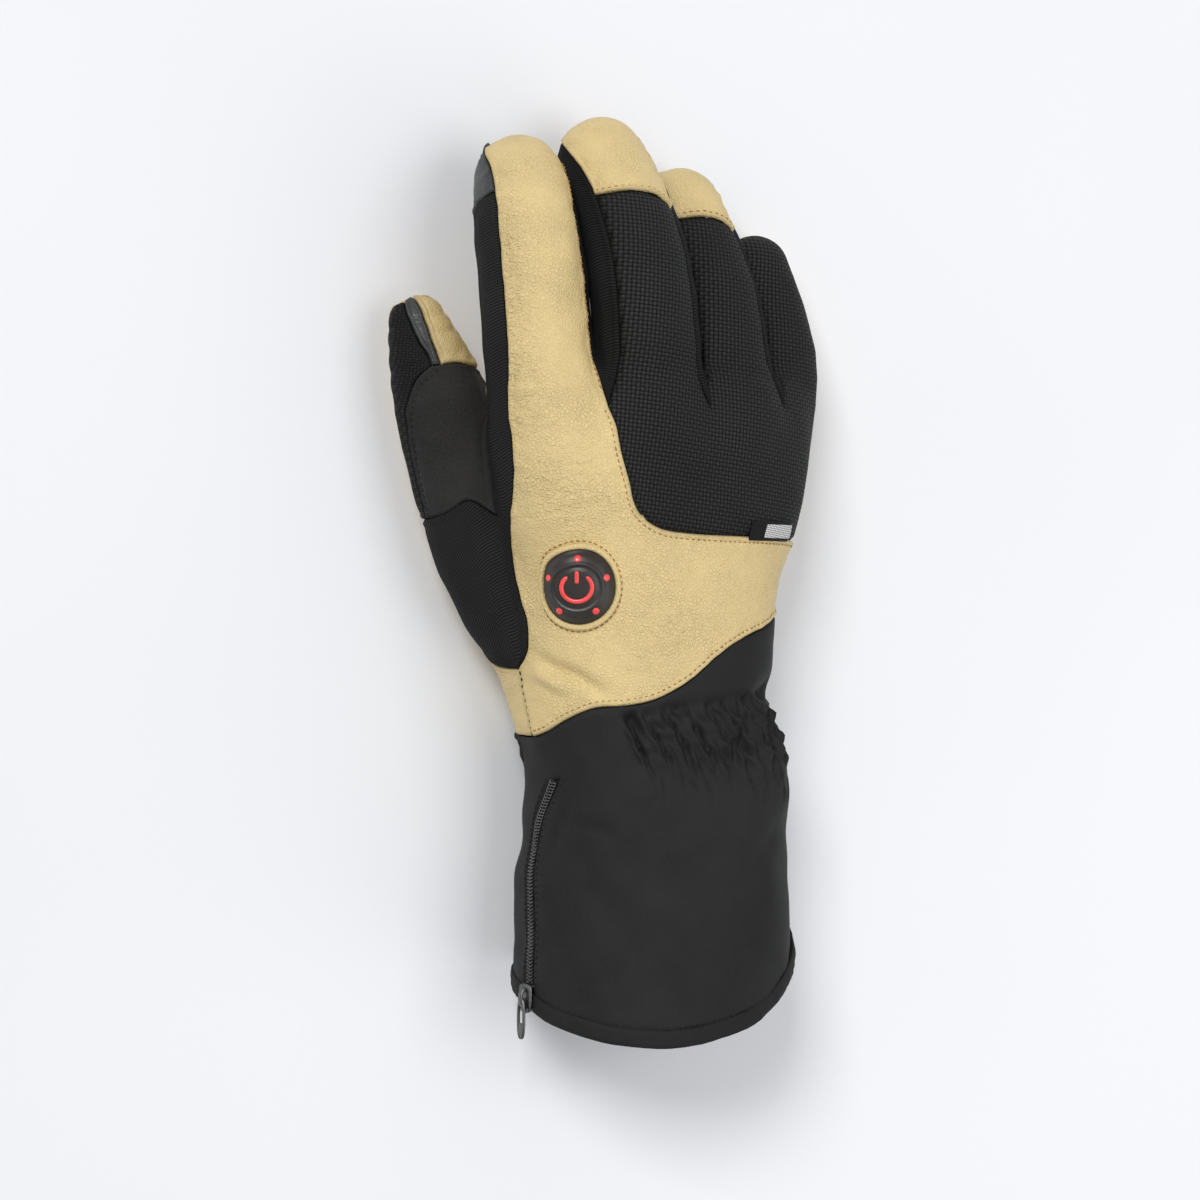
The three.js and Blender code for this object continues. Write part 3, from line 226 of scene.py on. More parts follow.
def keep_fingers_apart():
    """Where two fingers' balls come too close, both shrink by half of what is missing."""
    for first, second in zip(FINGERS, FINGERS[1:]):
        for name, other in ((first, second), (second, first)):
            rows, chain = DIGITS[name], BALLS[other]
            away = np.linalg.norm(rows[:, None, :3] - chain[None, :, :3], axis=2) - chain[None, :, 3]
            room = away.min(1)
            wanted = rows[:, 3] + (room - rows[:, 3] - FINGER_GAP) / 2
            free = rows[:, 1] >= 0.61 * HAND_LENGTH
            rows[:, 3] = np.where(free, np.minimum(rows[:, 3], wanted), rows[:, 3])
    BALLS.update({name: ball_chain(name) for name in DIGITS})


keep_fingers_apart()

SECTION_ROWS = np.array(
    [[-y * CUFF_LENGTH, x * PALM_HALF, z * HAND_HEIGHT, a * CUFF_HALF, b * CUFF_DEPTH, 0]
     for y, x, z, a, b in CUFF_ROWS]
    + [[y * HAND_LENGTH, x * PALM_HALF, z * HAND_HEIGHT, a * PALM_HALF, b * HAND_DEPTH, s]
       for y, x, z, a, b, s in HAND_ROWS])
SECTIONS = row_at(SECTION_ROWS, np.linspace(0, len(SECTION_ROWS) - 1, 2400))
CROTCH_Y = 0.555 * HAND_LENGTH
SQUARENESS = 2.3


def section_at(y):
    """Middle x and z, half width, half thickness and slope of the hand and cuff at y."""
    return [np.interp(y, SECTIONS[:, 0], SECTIONS[:, k]) for k in range(1, 6)]


def digit_distance(name, p):
    """Least distance to the capsules between one digit's balls."""
    best = np.full(p.shape[0], 1e9)
    chain = BALLS[name]
    for a, b in zip(chain, chain[1:]):
        arm = b[:3] - a[:3]
        away = p - a[:3]
        h = clamp01(away @ arm / (arm @ arm))
        away = away - h[:, None] * arm
        best = np.minimum(best, np.sqrt(np.einsum("ij,ij->i", away, away)) - (a[3] + h * (b[3] - a[3])))
    return best


def body_distance(p):
    """(k - 1) / |grad k| for the superellipse k of the section at y, cut off flat at the finger crotches."""
    middle_x, middle_z, a, b, slope = section_at(p[:, 1])
    dx = p[:, 0] - middle_x
    dz = p[:, 2] - middle_z - slope * dx
    k = (np.abs(dx / a) ** SQUARENESS + np.abs(dz / b) ** SQUARENESS) ** (1 / SQUARENESS) + 1e-9
    steepness = np.hypot(dx / (a * a), dz / (b * b)) / k + 1e-9
    return np.maximum((k - 1) / steepness * 0.9, p[:, 1] - CROTCH_Y)


def blend(a, b, width):
    """Smooth union of two distances over a width."""
    h = clamp01(0.5 + 0.5 * (b - a) / width)
    return b + (a - b) * h - width * h * (1 - h)


def form(p):
    """Distance to the outside of the stuffed glove, below zero inside."""
    web = 1.5 + 10 * smooth(CROTCH_Y + 2 - p[:, 1], 0, 0.15 * HAND_LENGTH)
    d = digit_distance("index", p)
    for name in ("middle", "ring", "little"):
        d = blend(d, digit_distance(name, p), web)
    d = blend(d, body_distance(p), 10)
    d = blend(d, digit_distance("thumb", p), 2 + 5 * smooth(0.45 * HAND_LENGTH - p[:, 1], 0, 40))
    return -blend(-d, p[:, 2], 3)


# Corners of a small tetrahedron: four values of form() give its mean and its gradient
CORNERS = np.array([[1, -1, -1], [-1, -1, 1], [-1, 1, -1], [1, 1, 1]], float)


def value_and_gradient(p, e=0.2):
    """form() and its gradient at points, from four tries at a distance of e along the corners."""
    values = np.stack([form(p + e * corner) for corner in CORNERS])
    return values.mean(0), np.einsum("kn,kc->nc", values, CORNERS) / (4 * e)


def press(points, height=0.0, steps=4):
    """Moves points along the gradient of form() onto the layer at that height over the outside."""
    shape = points.shape
    p = points.reshape(-1, 3).copy()
    height = np.broadcast_to(height, shape[:-1]).reshape(-1)
    for _ in range(steps):
        value, slope = value_and_gradient(p)
        move = (value - height) / np.maximum((slope * slope).sum(1), 0.2)
        p -= slope * np.clip(move, -2, 2)[:, None]
    p[:, 2] = np.maximum(p[:, 2], 0)
    return p.reshape(shape)


def normals_at(points):
    """Outward directions of the form at points."""
    return unit(value_and_gradient(points.reshape(-1, 3))[1]).reshape(points.shape)


def march(start, direction, reach):
    """Goes from points inside straight out to the surface, at most as far as reach."""
    start, direction = (np.array(np.broadcast_to(v, np.broadcast_shapes(start.shape, direction.shape)))
                        for v in (start, direction))
    shape = start.shape
    p, direction = start.reshape(-1, 3).copy(), direction.reshape(-1, 3)
    reach = np.broadcast_to(reach, shape[:-1]).reshape(-1)
    gone = np.zeros(len(p))
    live = np.arange(len(p))
    for _ in range(120):
        d = form(p[live])
        going = (d <= -0.01) & (gone[live] <= reach[live])
        live, d = live[going], d[going]
        if not len(live):
            break
        step = np.clip(-d * 0.9, 0.02, 2)
        p[live] += direction[live] * step[:, None]
        gone[live] += step
    return press(p, steps=6).reshape(shape)


def digit_frame(name, s):
    """Middle point of a digit at row s, with its directions along, toward its back and sideways."""
    rows = DIGITS[name][:, :3]
    last = len(rows) - 1
    s = np.asarray(s, float)
    along = unit(row_at(rows, np.minimum(s + 0.1, last)) - row_at(rows, np.maximum(s - 0.1, 0)))
    back = unit(np.array([0, 0, 1.0]) - along * along[..., 2:])
    return row_at(rows, s), along, back, np.cross(along, back)


def on_digit(name, s, angle, lean=0.0):
    """Point of a digit's surface: row s, angle from its back toward the little finger, lean to the tip."""
    s, angle, lean = np.broadcast_arrays(*(np.asarray(v, float) for v in (s, angle, lean)))
    origin, along, back, side = digit_frame(name, s)
    turn, tip = np.radians(angle)[..., None], np.radians(lean)[..., None]
    direction = np.cos(tip) * (np.cos(turn) * back + np.sin(turn) * side) + np.sin(tip) * along
    return march(origin, unit(direction), 1.5 * row_at(DIGITS[name], s)[..., 3])


def on_hand(share, angle, reach=1e9):
    """Point of the hand's surface: share of the hand's length, angle round the section from the top."""
    share, angle = np.broadcast_arrays(np.asarray(share, float), np.asarray(angle, float))
    y = share * HAND_LENGTH
    middle_x, middle_z, a, b, slope = section_at(y)
    dx = a * np.sin(np.radians(angle))
    dz = b * np.cos(np.radians(angle)) + slope * dx
    return march(np.stack([middle_x, y, middle_z], -1), unit(np.stack([dx, 0 * dx, dz], -1)), reach)


def on_web(first, second, share, angle):
    """Point of the web between two digits, from the middle between them: 0 ahead, 90 toward the back."""
    def rows_at(name, y):
        return row_where(DIGITS[name], y, 1)

    def between(y):
        a, b = rows_at(first, y), rows_at(second, y)
        return a[:3] + (b[:3] - a[:3]) * a[3] / (a[3] + b[3])

    y = share * HAND_LENGTH
    start = between(y)
    ahead = unit(between(y + 0.15 * HAND_LENGTH) - start)
    up = unit(np.cross(rows_at(second, y)[:3] - rows_at(first, y)[:3], ahead))
    up = -up if up[2] < 0 else up
    turn = np.radians(np.asarray(angle, float))[..., None]
    return march(start, np.cos(turn) * ahead + np.sin(turn) * up, 1e9)


class Seam:
    """A centripetal Catmull-Rom curve through a few points; cut() gives even steps on the glove."""

    def __init__(self, *groups):
        self.points = np.concatenate([np.atleast_2d(group) for group in groups])
        p = self.points
        self.padded = np.concatenate([[2 * p[0] - p[1]], p, [2 * p[-1] - p[-2]]])

    def at(self, t):
        """Points of the curve at numbers t: 0 at the first of its points, 1 at the second."""
        last = len(self.points) - 1
        i = np.clip(np.floor(t).astype(int), 0, last - 1)
        w = (t - i)[:, None]
        p0, p1, p2, p3 = (self.padded[i + k] for k in range(4))
        d0, d1, d2 = (np.sqrt(np.linalg.norm(b - a, axis=1))[:, None]
                      for a, b in ((p0, p1), (p1, p2), (p2, p3)))
        d1 = np.maximum(d1, 1e-4)
        d0, d2 = np.where(d0 < 1e-4, d1, d0), np.where(d2 < 1e-4, d1, d2)
        m1 = ((p1 - p0) / d0 - (p2 - p0) / (d0 + d1) + (p2 - p1) / d1) * d1
        m2 = ((p2 - p1) / d1 - (p3 - p1) / (d1 + d2) + (p3 - p2) / d2) * d1
        return (p1 + m1 * w + (-3 * p1 + 3 * p2 - 2 * m1 - m2) * w**2
                + (2 * p1 - 2 * p2 + m1 + m2) * w**3)

    def cut(self, start, end, count):
        """The stretch from number start to number end, in count even steps."""
        samples = self.at(np.linspace(start, end, 241))
        return press(even(samples, count), steps=6)

    def whole(self, count):
        """The whole curve in count even steps."""
        return self.cut(0, len(self.points) - 1, count)


def even(line, count):
    """The same line at count + 1 points of equal arc length."""
    length = np.concatenate([[0], np.cumsum(np.linalg.norm(np.diff(line, axis=0), axis=1))])
    wanted = np.linspace(0, length[-1], count + 1)
    return np.stack([np.interp(wanted, length, line[:, k]) for k in range(3)], -1)


class HandChart:
    """Numbers that mix well for points of the hand: share of its length, angle, distance from the middle."""

    def __init__(self, turn=0.0):
        self.turn = turn

    def read(self, p):
        middle_x, middle_z, a, b, slope = section_at(p[..., 1])
        dx = p[..., 0] - middle_x
        angle = np.degrees(np.arctan2(dx / a, (p[..., 2] - middle_z - slope * dx) / b))
        angle = angle + 360 * np.round((self.turn - angle) / 360)
        return np.stack([p[..., 1] / HAND_LENGTH, angle, np.hypot(dx, p[..., 2] - middle_z)], -1)

    def write(self, v):
        return on_hand(v[..., 0], v[..., 1], 1.03 * v[..., 2] + 0.6)


class DigitChart:
    """The same for a digit: row, direction from its middle line in its own axes, and distance."""

    def __init__(self, name):
        self.name = name

    def read(self, p):
        last = len(DIGITS[self.name]) - 1
        s = np.linspace(0, last, 160 * last + 1)
        line = row_at(DIGITS[self.name][:, :3], s)
        flat = p.reshape(-1, 3)
        best = s[np.linalg.norm(flat[:, None] - line[None], axis=2).argmin(1)]
        origin, along, back, side = digit_frame(self.name, best)
        arm = flat - origin
        distance = np.linalg.norm(arm, axis=1)
        parts = [(arm * axis).sum(1) / distance for axis in (back, side, along)]
        return np.stack([best, *parts, distance], -1).reshape(*p.shape[:-1], 5)

    def write(self, v):
        origin, along, back, side = digit_frame(self.name, v[..., 0])
        direction = unit(back * v[..., 1:2] + side * v[..., 2:3] + along * v[..., 3:4])
        return march(origin, direction, 1.03 * v[..., 4] + 0.6)


CHARTS = {name: DigitChart(name) for name in DIGITS}
HAND = HandChart()
PALM = HandChart(turn=180.0)


def patch(chart, left, right, start, end):
    """Grid between four edges: edges mixed as left-right plus start-end minus the corners, in the chart."""
    l, r, s, e = (chart.read(np.asarray(edge)) for edge in (left, right, start, end))
    u = np.linspace(0, 1, len(start))[None, :, None]
    v = np.linspace(0, 1, len(left))[:, None, None]
    values = (l[:, None] * (1 - u) + r[:, None] * u + s[None] * (1 - v) + e[None] * v
              - (s[0] * (1 - u) + s[-1] * u) * (1 - v) - (e[0] * (1 - u) + e[-1] * u) * v)
    grid = np.empty((len(left), len(start), 3))
    grid[1:-1, 1:-1] = chart.write(values[1:-1, 1:-1])
    grid[0], grid[-1], grid[:, 0], grid[:, -1] = start, end, left, right
    return settle(grid)


def settle(grid, stray=4.0, rounds=8):
    """Inner points go to the middle of their four neighbours: stray ones at once, the others by degrees."""
    for turn in range(rounds):
        middle = (grid[:-2, 1:-1] + grid[2:, 1:-1] + grid[1:-1, :-2] + grid[1:-1, 2:]) / 4
        away = np.linalg.norm(grid[1:-1, 1:-1] - middle, axis=2, keepdims=True)
        share = np.where(away > stray, 1.0, 0.5 if turn >= rounds - 4 else 0.0)
        grid[1:-1, 1:-1] = press(grid[1:-1, 1:-1] + share * (middle - grid[1:-1, 1:-1]), steps=2)
    return grid


def across(chart, a, b, count):
    """Straight line in a chart between two points of the surface."""
    start, end = chart.read(a[None]), chart.read(b[None])
    t = np.linspace(0, 1, count + 1)[1:-1, None]
    return np.concatenate([a[None], chart.write(start + (end - start) * t), b[None]])


def joined(*lines):
    """Lines one after the other, each starting at the point where the last one ended."""
    return np.concatenate([lines[0]] + [line[1:] for line in lines[1:]])


def refine(grid, factor):
    """Catmull-Rom in both directions with factor steps for each cell, pressed onto the glove again."""
    rows, columns = grid.shape[:2]
    down = row_at(grid.reshape(rows, -1), np.arange((rows - 1) * factor + 1) / factor)
    down = down.reshape(-1, columns, 3).transpose(1, 0, 2)
    both = row_at(down.reshape(columns, -1), np.arange((columns - 1) * factor + 1) / factor)
    return press(both.reshape(-1, down.shape[1], 3).transpose(1, 0, 2), steps=2)


# Faces of each stretch of a seam before the piece is refined
FACES = {
    "back": 8, "side": 6, "palm": 6, "low": 12, "cap": 6, "column": 14, "wedge": 10, "wrist": 5, "web": 6,
    "groove": 8, "hill": 5, "base_inner": 8, "base_outer": 6, "suede_inner": 4, "knit_side": 6, "suede": 8,
    "thumb_tip": 6,
}
# Where the webs between the fingers begin, as a share of HAND_LENGTH
WEB_START = 0.46
# Angles of the back's and palm's edges on a finger, and of the outer seam, from the middle of the back
EDGE_ANGLE = 54
OUTER_ANGLE = 80
# Lean toward the tip at which the side seams end
TIP_LEAN = 48
# Rows of the finger's table where its cap or touch tip begins, left and right, and where it is free
CAP_START = {"index": (4.15, 4.15), "middle": (3.9, 3.62), "ring": (4.42, 3.95), "little": (4.2, 4.2)}
FREE_ROW = {"index": 2, "middle": 2, "ring": 2, "little": 2.25}


def on_rows(name, *rows):
    """Points of a digit from rows of (row, angle) or (row, angle, lean)."""
    full = np.array([list(row) + [0] * (3 - len(row)) for row in rows], float)
    return on_digit(name, full[:, 0], full[:, 1], full[:, 2])


def hand_points(*rows):
    """Points of the hand from rows of (share, angle)."""
    full = np.array(rows, float)
    return on_hand(full[:, 0], full[:, 1])


def rim_point(angle):
    """The leather's edge at the cuff, at an angle round the wrist that may run past half a turn."""
    angle = np.asarray(angle, float)
    wrapped = (angle + 180) % 360 - 180
    return on_hand(row_where(CUFF_EDGES, wrapped)[..., 1], angle)


def finger_strips():
    """The long seams of the four fingers, from the webs to the tips, and the webs' own seams."""
    webs = {
        first: Seam(on_web(first, second, WEB_START, [60, 30, 0, -30, -60])).whole(FACES["side"])
        for first, second in zip(FINGERS, FINGERS[1:])
    }
    strips = {}
    for number, name in enumerate(FINGERS):
        before = webs.get(FINGERS[number - 1]) if number else None
        after = webs.get(name)
        outer = 90 if after is not None else OUTER_ANGLE
        tip_left, tip_right = on_rows(name, (5, -90, TIP_LEAN), (5, outer, TIP_LEAN))

        def edge(first, angle, turn, last, stop):
            rows = [(FREE_ROW[name], angle), (3, angle), (4, angle),
                    (4.6, angle + 0.15 * (turn - angle)), (5, angle + 0.5 * (turn - angle), 20)]
            line = Seam(first, on_rows(name, *rows), last)
            control = stop - 1 if stop < 4 else 3 + (stop - 4) / 0.6
            return joined(line.cut(0, control, FACES["low"]), line.cut(control, 6, FACES["cap"]))

        left, right = CAP_START[name]
        strip = {"tip": Seam(tip_left, on_digit(name, 5, 0, 80), tip_right)}
        start = before[0] if before is not None else on_digit(name, 1.25, -61)
        strip["back_left"] = edge(start, -EDGE_ANGLE, -90, tip_left, left)
        if after is not None:
            strip["back_right"] = edge(after[0], EDGE_ANGLE, 90, tip_right, right)
            strip["palm_right"] = edge(after[-1], 180 - EDGE_ANGLE, 90, tip_right, right)
        else:
            strip["back_right"] = edge(on_digit(name, 1.4, outer), outer, outer, tip_right, right)
            strip["palm_right"] = strip["back_right"]
        if before is not None:
            strip["palm_left"] = edge(before[-1], 180 + EDGE_ANGLE, 270, tip_left, left)
        strips[name] = strip
    return webs, strips


def hand_seams(webs, strips):
    """The seams across the hand and the thumb, by name."""
    thumb_web = {angle: on_web("index", "thumb", 0.35, angle) for angle in (97, 70, 35, 0, -45, -90)}
    top, crotch = thumb_web[97], thumb_web[0]
    wrist = on_hand(0.075, -81)
    return {
        "wrist_point": wrist,
        "index_side": Seam(
            strips["index"]["back_left"][0], on_rows("index", (0.9, -58), (0.5, -60)),
            hand_points((0.322, -83), (0.264, -90), (0.213, -86), (0.18, -80), (0.134, -73), (0.096, -75)),
            wrist),
        "wrist_side": Seam(wrist, hand_points((0.041, -78), (0.018, -76), (-0.018, -76)), rim_point(-77)),
        "fabric": Seam(webs["index"][0], hand_points(
            (0.48, -25.5), (0.426, -23.5), (0.386, -21.6), (0.351, -20.1), (0.33, -17.8), (0.315, -13.5),
            (0.305, -8), (0.3, 1), (0.297, 15.5), (0.295, 31), (0.2925, 54), (0.29, 72), (0.2875, 85))),
        "outer_side": Seam(rim_point(90), hand_points((0.235, 87), (0.2875, 85), (0.35, 84), (0.41, 84)),
                           strips["little"]["back_right"][0]),
        "index_palm": Seam(on_rows("index", (4.15, -105), (3, -105), (2, -106), (1.2, -108)), crotch),
        "groove": Seam(crotch, thumb_web[35], thumb_web[70], top),
        "thumb_base": Seam(crotch, thumb_web[-45], thumb_web[-90],
                           on_rows("thumb", (2.1, 150), (1.6, 190), (1.35, 235))),
        "thumb_outer": Seam(wrist, on_rows(
            "thumb", (1.03, -74), (1.15, -105), (1.35, -125), (2, -125), (2.62, -125), (3.5, -125),
            (4.5, -125), (5.4, -122), (6, -118, 20), (6, -115, 50))),
        "suede_foot": Seam(top, on_rows("thumb", (2.68, -23), (2.63, -50), (2.62, -86), (2.62, -105),
                                        (2.62, -125))),
        "suede_outer": Seam(on_rows("thumb", (2.62, -86), (3.3, -82), (4, -71), (4.5, -52), (4.7, -38),
                                    (4.85, -17), (5.5, -26), (6, -36, 25), (6, -46, 62))),
        "suede_top": Seam(on_rows("thumb", (4.85, -17), (4.8, -4), (4.75, 16), (4.6, 37), (4.45, 66))),
        "thumb_inner": Seam(crotch, on_rows("thumb", (3.8, 66), (4.45, 66), (5, 68), (5.6, 72), (6, 76, 20),
                                            (6, 80, 50))),
        "thumb_tip": Seam(on_rows("thumb", (6, -115, 50), (6, -46, 62), (6, 0, 72), (6, 80, 50))),
        "thumb_middle": Seam(on_rows("thumb", (2.1, 150), (3, 150), (4, 150), (5, 150), (6, 150, 15),
                                     (6, 150, 70), (6, 0, 72))),
        "touch_band": Seam(on_rows("thumb", (4.8, -4), (5.5, -3), (6, 0, 25), (6, 0, 72))),
    }


def cut_pattern():
    """Every piece's patches, by the piece's name, and the lines that stitches follow."""
    f = FACES
    webs, strips = finger_strips()
    seams = hand_seams(webs, strips)
    low, wrist = f["low"] + 1, seams["wrist_point"]
    index_palm = joined(seams["index_palm"].cut(0, 3, f["low"]), seams["index_palm"].cut(3, 4, f["web"]))
    back_base, palm_base = {}, {}
    for name in FINGERS:
        strip = strips[name]
        back_base[name] = across(CHARTS[name], strip["back_left"][0], strip["back_right"][0], f["back"])
        start = index_palm[f["low"]] if name == "index" else strip["palm_left"][0]
        palm_base[name] = across(CHARTS[name], start, strip["palm_right"][0], f["palm"])

    pieces, backs = {}, {}
    lines = {"strips": strips, "seams": seams}
    for name in FINGERS:
        strip, chart = strips[name], CHARTS[name]
        left, right, tip = strip["back_left"], strip["back_right"], strip["tip"].whole(f["back"])
        if name in ("index", "little"):
            backs[name] = patch(chart, left, right, back_base[name], tip)
            continue
        cap = across(chart, left[f["low"]], right[f["low"]], f["back"])
        lines[f"{name}_cap"] = cap
        backs[name] = patch(chart, left[:low], right[:low], back_base[name], cap)
        pieces[f"{name}_cap"] = [patch(chart, left[low - 1:], right[low - 1:], cap, tip)]

    columns = 3 * f["back"]
    fabric_left = seams["fabric"].cut(0, 5, f["column"])
    fabric_foot = seams["fabric"].cut(5, 13, columns)
    outer_upper = seams["outer_side"].cut(2, 5, f["column"])
    knuckles = joined(*(back_base[name] for name in FINGERS[1:]))
    trunk = patch(HAND, fabric_left[::-1], outer_upper, fabric_foot, knuckles)
    pieces["back_fabric"] = [trunk, backs["middle"], backs["ring"], backs["little"]]

    side_column = seams["index_side"].cut(0, 3, f["column"])
    side_wedge = seams["index_side"].cut(3, 9, f["wedge"])
    side_wrist = seams["wrist_side"].whole(f["wrist"])
    column_foot = across(HAND, side_column[-1], fabric_left[-1], f["back"])
    column = patch(HAND, side_column, fabric_left, back_base["index"], column_foot)
    outer_lower = seams["outer_side"].cut(0, 2, f["wedge"] + f["wrist"])[::-1]
    back_rim = Seam(rim_point(np.linspace(-77, 90, 13)))
    band = patch(HAND, joined(side_wedge, side_wrist), outer_lower, joined(column_foot, fabric_foot),
                 back_rim.whole(f["back"] + columns))
    pieces["back_leather"] = [backs["index"], column, band]
    lines["back_rim"] = back_rim

    groove = seams["groove"].whole(f["groove"])
    index_edge = strips["index"]["back_left"]
    gusset_top = across(CHARTS["index"], index_edge[low - 1], index_palm[0], f["side"])
    gusset_foot = across(CHARTS["index"], side_column[-1], seams["groove"].points[-1], f["side"])
    gusset = patch(CHARTS["index"], joined(index_edge[:low][::-1], side_column), joined(index_palm, groove),
                   gusset_top, gusset_foot)
    suede_foot = seams["suede_foot"].cut(0, 3, f["suede"])
    knit_foot = seams["suede_foot"].cut(3, 5, f["knit_side"])
    thumb_foot = joined(gusset_foot, suede_foot, knit_foot)
    outer_hill = seams["thumb_outer"].cut(0, 3, f["hill"])
    outer_low = seams["thumb_outer"].cut(3, 5, f["wedge"] - f["hill"])
    wedge = patch(CHARTS["thumb"], side_wedge, joined(outer_hill, outer_low)[::-1], thumb_foot,
                  np.repeat(wrist[None], len(thumb_foot), 0))
    pieces["index_gusset"] = [gusset, wedge]

    touch_middle = Seam(on_rows("index", (4.15, -105), (4.7, -108), (5, -115, 20), (5, -130, 60),
                                (5, 0, 80))).whole(f["cap"])
    touch_right = strips["index"]["palm_right"][low - 1:]
    palm_cap = across(CHARTS["index"], index_palm[0], touch_right[0], f["palm"])
    tip = strips["index"]["tip"]
    pieces["index_touch_tip"] = [
        patch(CHARTS["index"], index_edge[low - 1:], touch_middle, gusset_top, tip.cut(0, 1, f["side"])),
        patch(CHARTS["index"], touch_middle, touch_right, palm_cap, tip.cut(1, 2, f["palm"])),
    ]
    for first, second in zip(FINGERS, FINGERS[1:]):
        web = webs[first]
        ends = [np.repeat(strips[name]["tip"].points[k][None], len(web), 0)
                for name, k in ((first, 2), (second, 0))]
        pieces[f"fourchette_{first}_{second}"] = [
            patch(CHARTS[first], strips[first]["back_right"], strips[first]["palm_right"], web, ends[0]),
            patch(CHARTS[second], strips[second]["back_left"], strips[second]["palm_left"], web, ends[1]),
        ]

    thumb = CHARTS["thumb"]
    rows = f["groove"] + f["suede_inner"]
    suede_edge = seams["suede_outer"].cut(0, 5, rows)
    band_edge = seams["suede_outer"].cut(5, 8, f["thumb_tip"])
    outer_knit = seams["thumb_outer"].cut(5, 10, rows + f["thumb_tip"])
    tip = seams["thumb_tip"]
    pieces["thumb_knit"] = [patch(thumb, outer_knit, joined(suede_edge, band_edge), knit_foot[::-1],
                                  tip.cut(0, 1, f["knit_side"]))]
    pieces["thumb_suede"] = [patch(
        thumb, suede_edge, joined(groove[::-1], seams["thumb_inner"].cut(0, 2, f["suede_inner"])),
        suede_foot[::-1], seams["suede_top"].whole(f["suede"]))]
    touch_band = seams["touch_band"].whole(f["thumb_tip"])
    pieces["thumb_touch_band"] = [patch(thumb, band_edge, touch_band, seams["suede_top"].cut(0, 1, 3),
                                        tip.cut(1, 2, 3))]
    pieces["thumb_tip_leather"] = [patch(thumb, touch_band, seams["thumb_inner"].cut(2, 6, f["thumb_tip"]),
                                         seams["suede_top"].cut(1, 4, 6), tip.cut(2, 3, 6))]
    palm_thumb = joined(outer_low, outer_knit)
    count = len(palm_thumb) - 1
    inner_thumb = joined(seams["thumb_inner"].cut(0, 2, count - 2 * f["thumb_tip"]),
                         seams["thumb_inner"].cut(2, 6, 2 * f["thumb_tip"]))
    middle_thumb = seams["thumb_middle"].whole(count)
    base_inner = seams["thumb_base"].cut(0, 3, f["base_inner"])
    base_outer = seams["thumb_base"].cut(3, 5, f["base_outer"])
    pieces["thumb_palm"] = [
        patch(thumb, inner_thumb, middle_thumb, base_inner, tip.cut(2, 3, f["base_inner"])[::-1]),
        patch(thumb, middle_thumb, palm_thumb, base_outer, tip.cut(0, 2, f["base_outer"])[::-1]),
    ]

    palm_strips = [patch(CHARTS["index"], index_palm[:low][::-1], strips["index"]["palm_right"][:low],
                         palm_base["index"], palm_cap)]
    for name in FINGERS[1:]:
        strip = strips[name]
        palm_strips.append(patch(CHARTS[name], strip["palm_left"], strip["palm_right"], palm_base[name],
                                 strip["tip"].whole(f["palm"])))
    palm_rim = Seam(rim_point(np.linspace(283, 90, 13)))
    palm_top = joined(*(palm_base[name] for name in FINGERS))
    palm_left = joined(index_palm[f["low"]:], base_inner, base_outer, outer_hill[::-1], side_wrist)
    palm_right = joined(outer_upper[::-1], outer_lower)
    palm_right = even(palm_right, len(palm_left) - 1)
    palm_trunk = patch(PALM, palm_left, palm_right, palm_top, palm_rim.whole(4 * f["palm"]))
    pieces["palm_leather"] = [palm_trunk, *palm_strips]
    return pieces, lines


# Border points of two patches that lie nearer than this are one point, in millimetres
WELD = 0.45
# Points of one place, found by rounding to this many millimetres
SAME_POINT = 0.004
# Least height over the floor, in millimetres
FLOOR_CLEAR = 0.08
# Points and heights of the finished pieces, by name
SHAPES = {}


def to_frame(points):
    """From the glove's millimetres to the frame's metres."""
    return (points + ORIGIN) * MM


def grid_faces(rows, columns):
    """Quads of a grid of rows x columns points."""
    index = np.arange(rows * columns).reshape(rows, columns)
    return np.stack([index[:-1, :-1], index[:-1, 1:], index[1:, 1:], index[1:, :-1]], -1).reshape(-1, 4)


def arc_grid(grid):
    """Each point's distance along its row and its column, measured from the middle ones."""
    across_steps = np.linalg.norm(np.diff(grid, axis=1), axis=2)
    down_steps = np.linalg.norm(np.diff(grid, axis=0), axis=2)
    u = np.pad(np.cumsum(across_steps, 1), ((0, 0), (1, 0)))
    v = np.pad(np.cumsum(down_steps, 0), ((1, 0), (0, 0)))
    return np.stack([u - u[:, u.shape[1] // 2][:, None], v - v[v.shape[0] // 2][None]], -1)


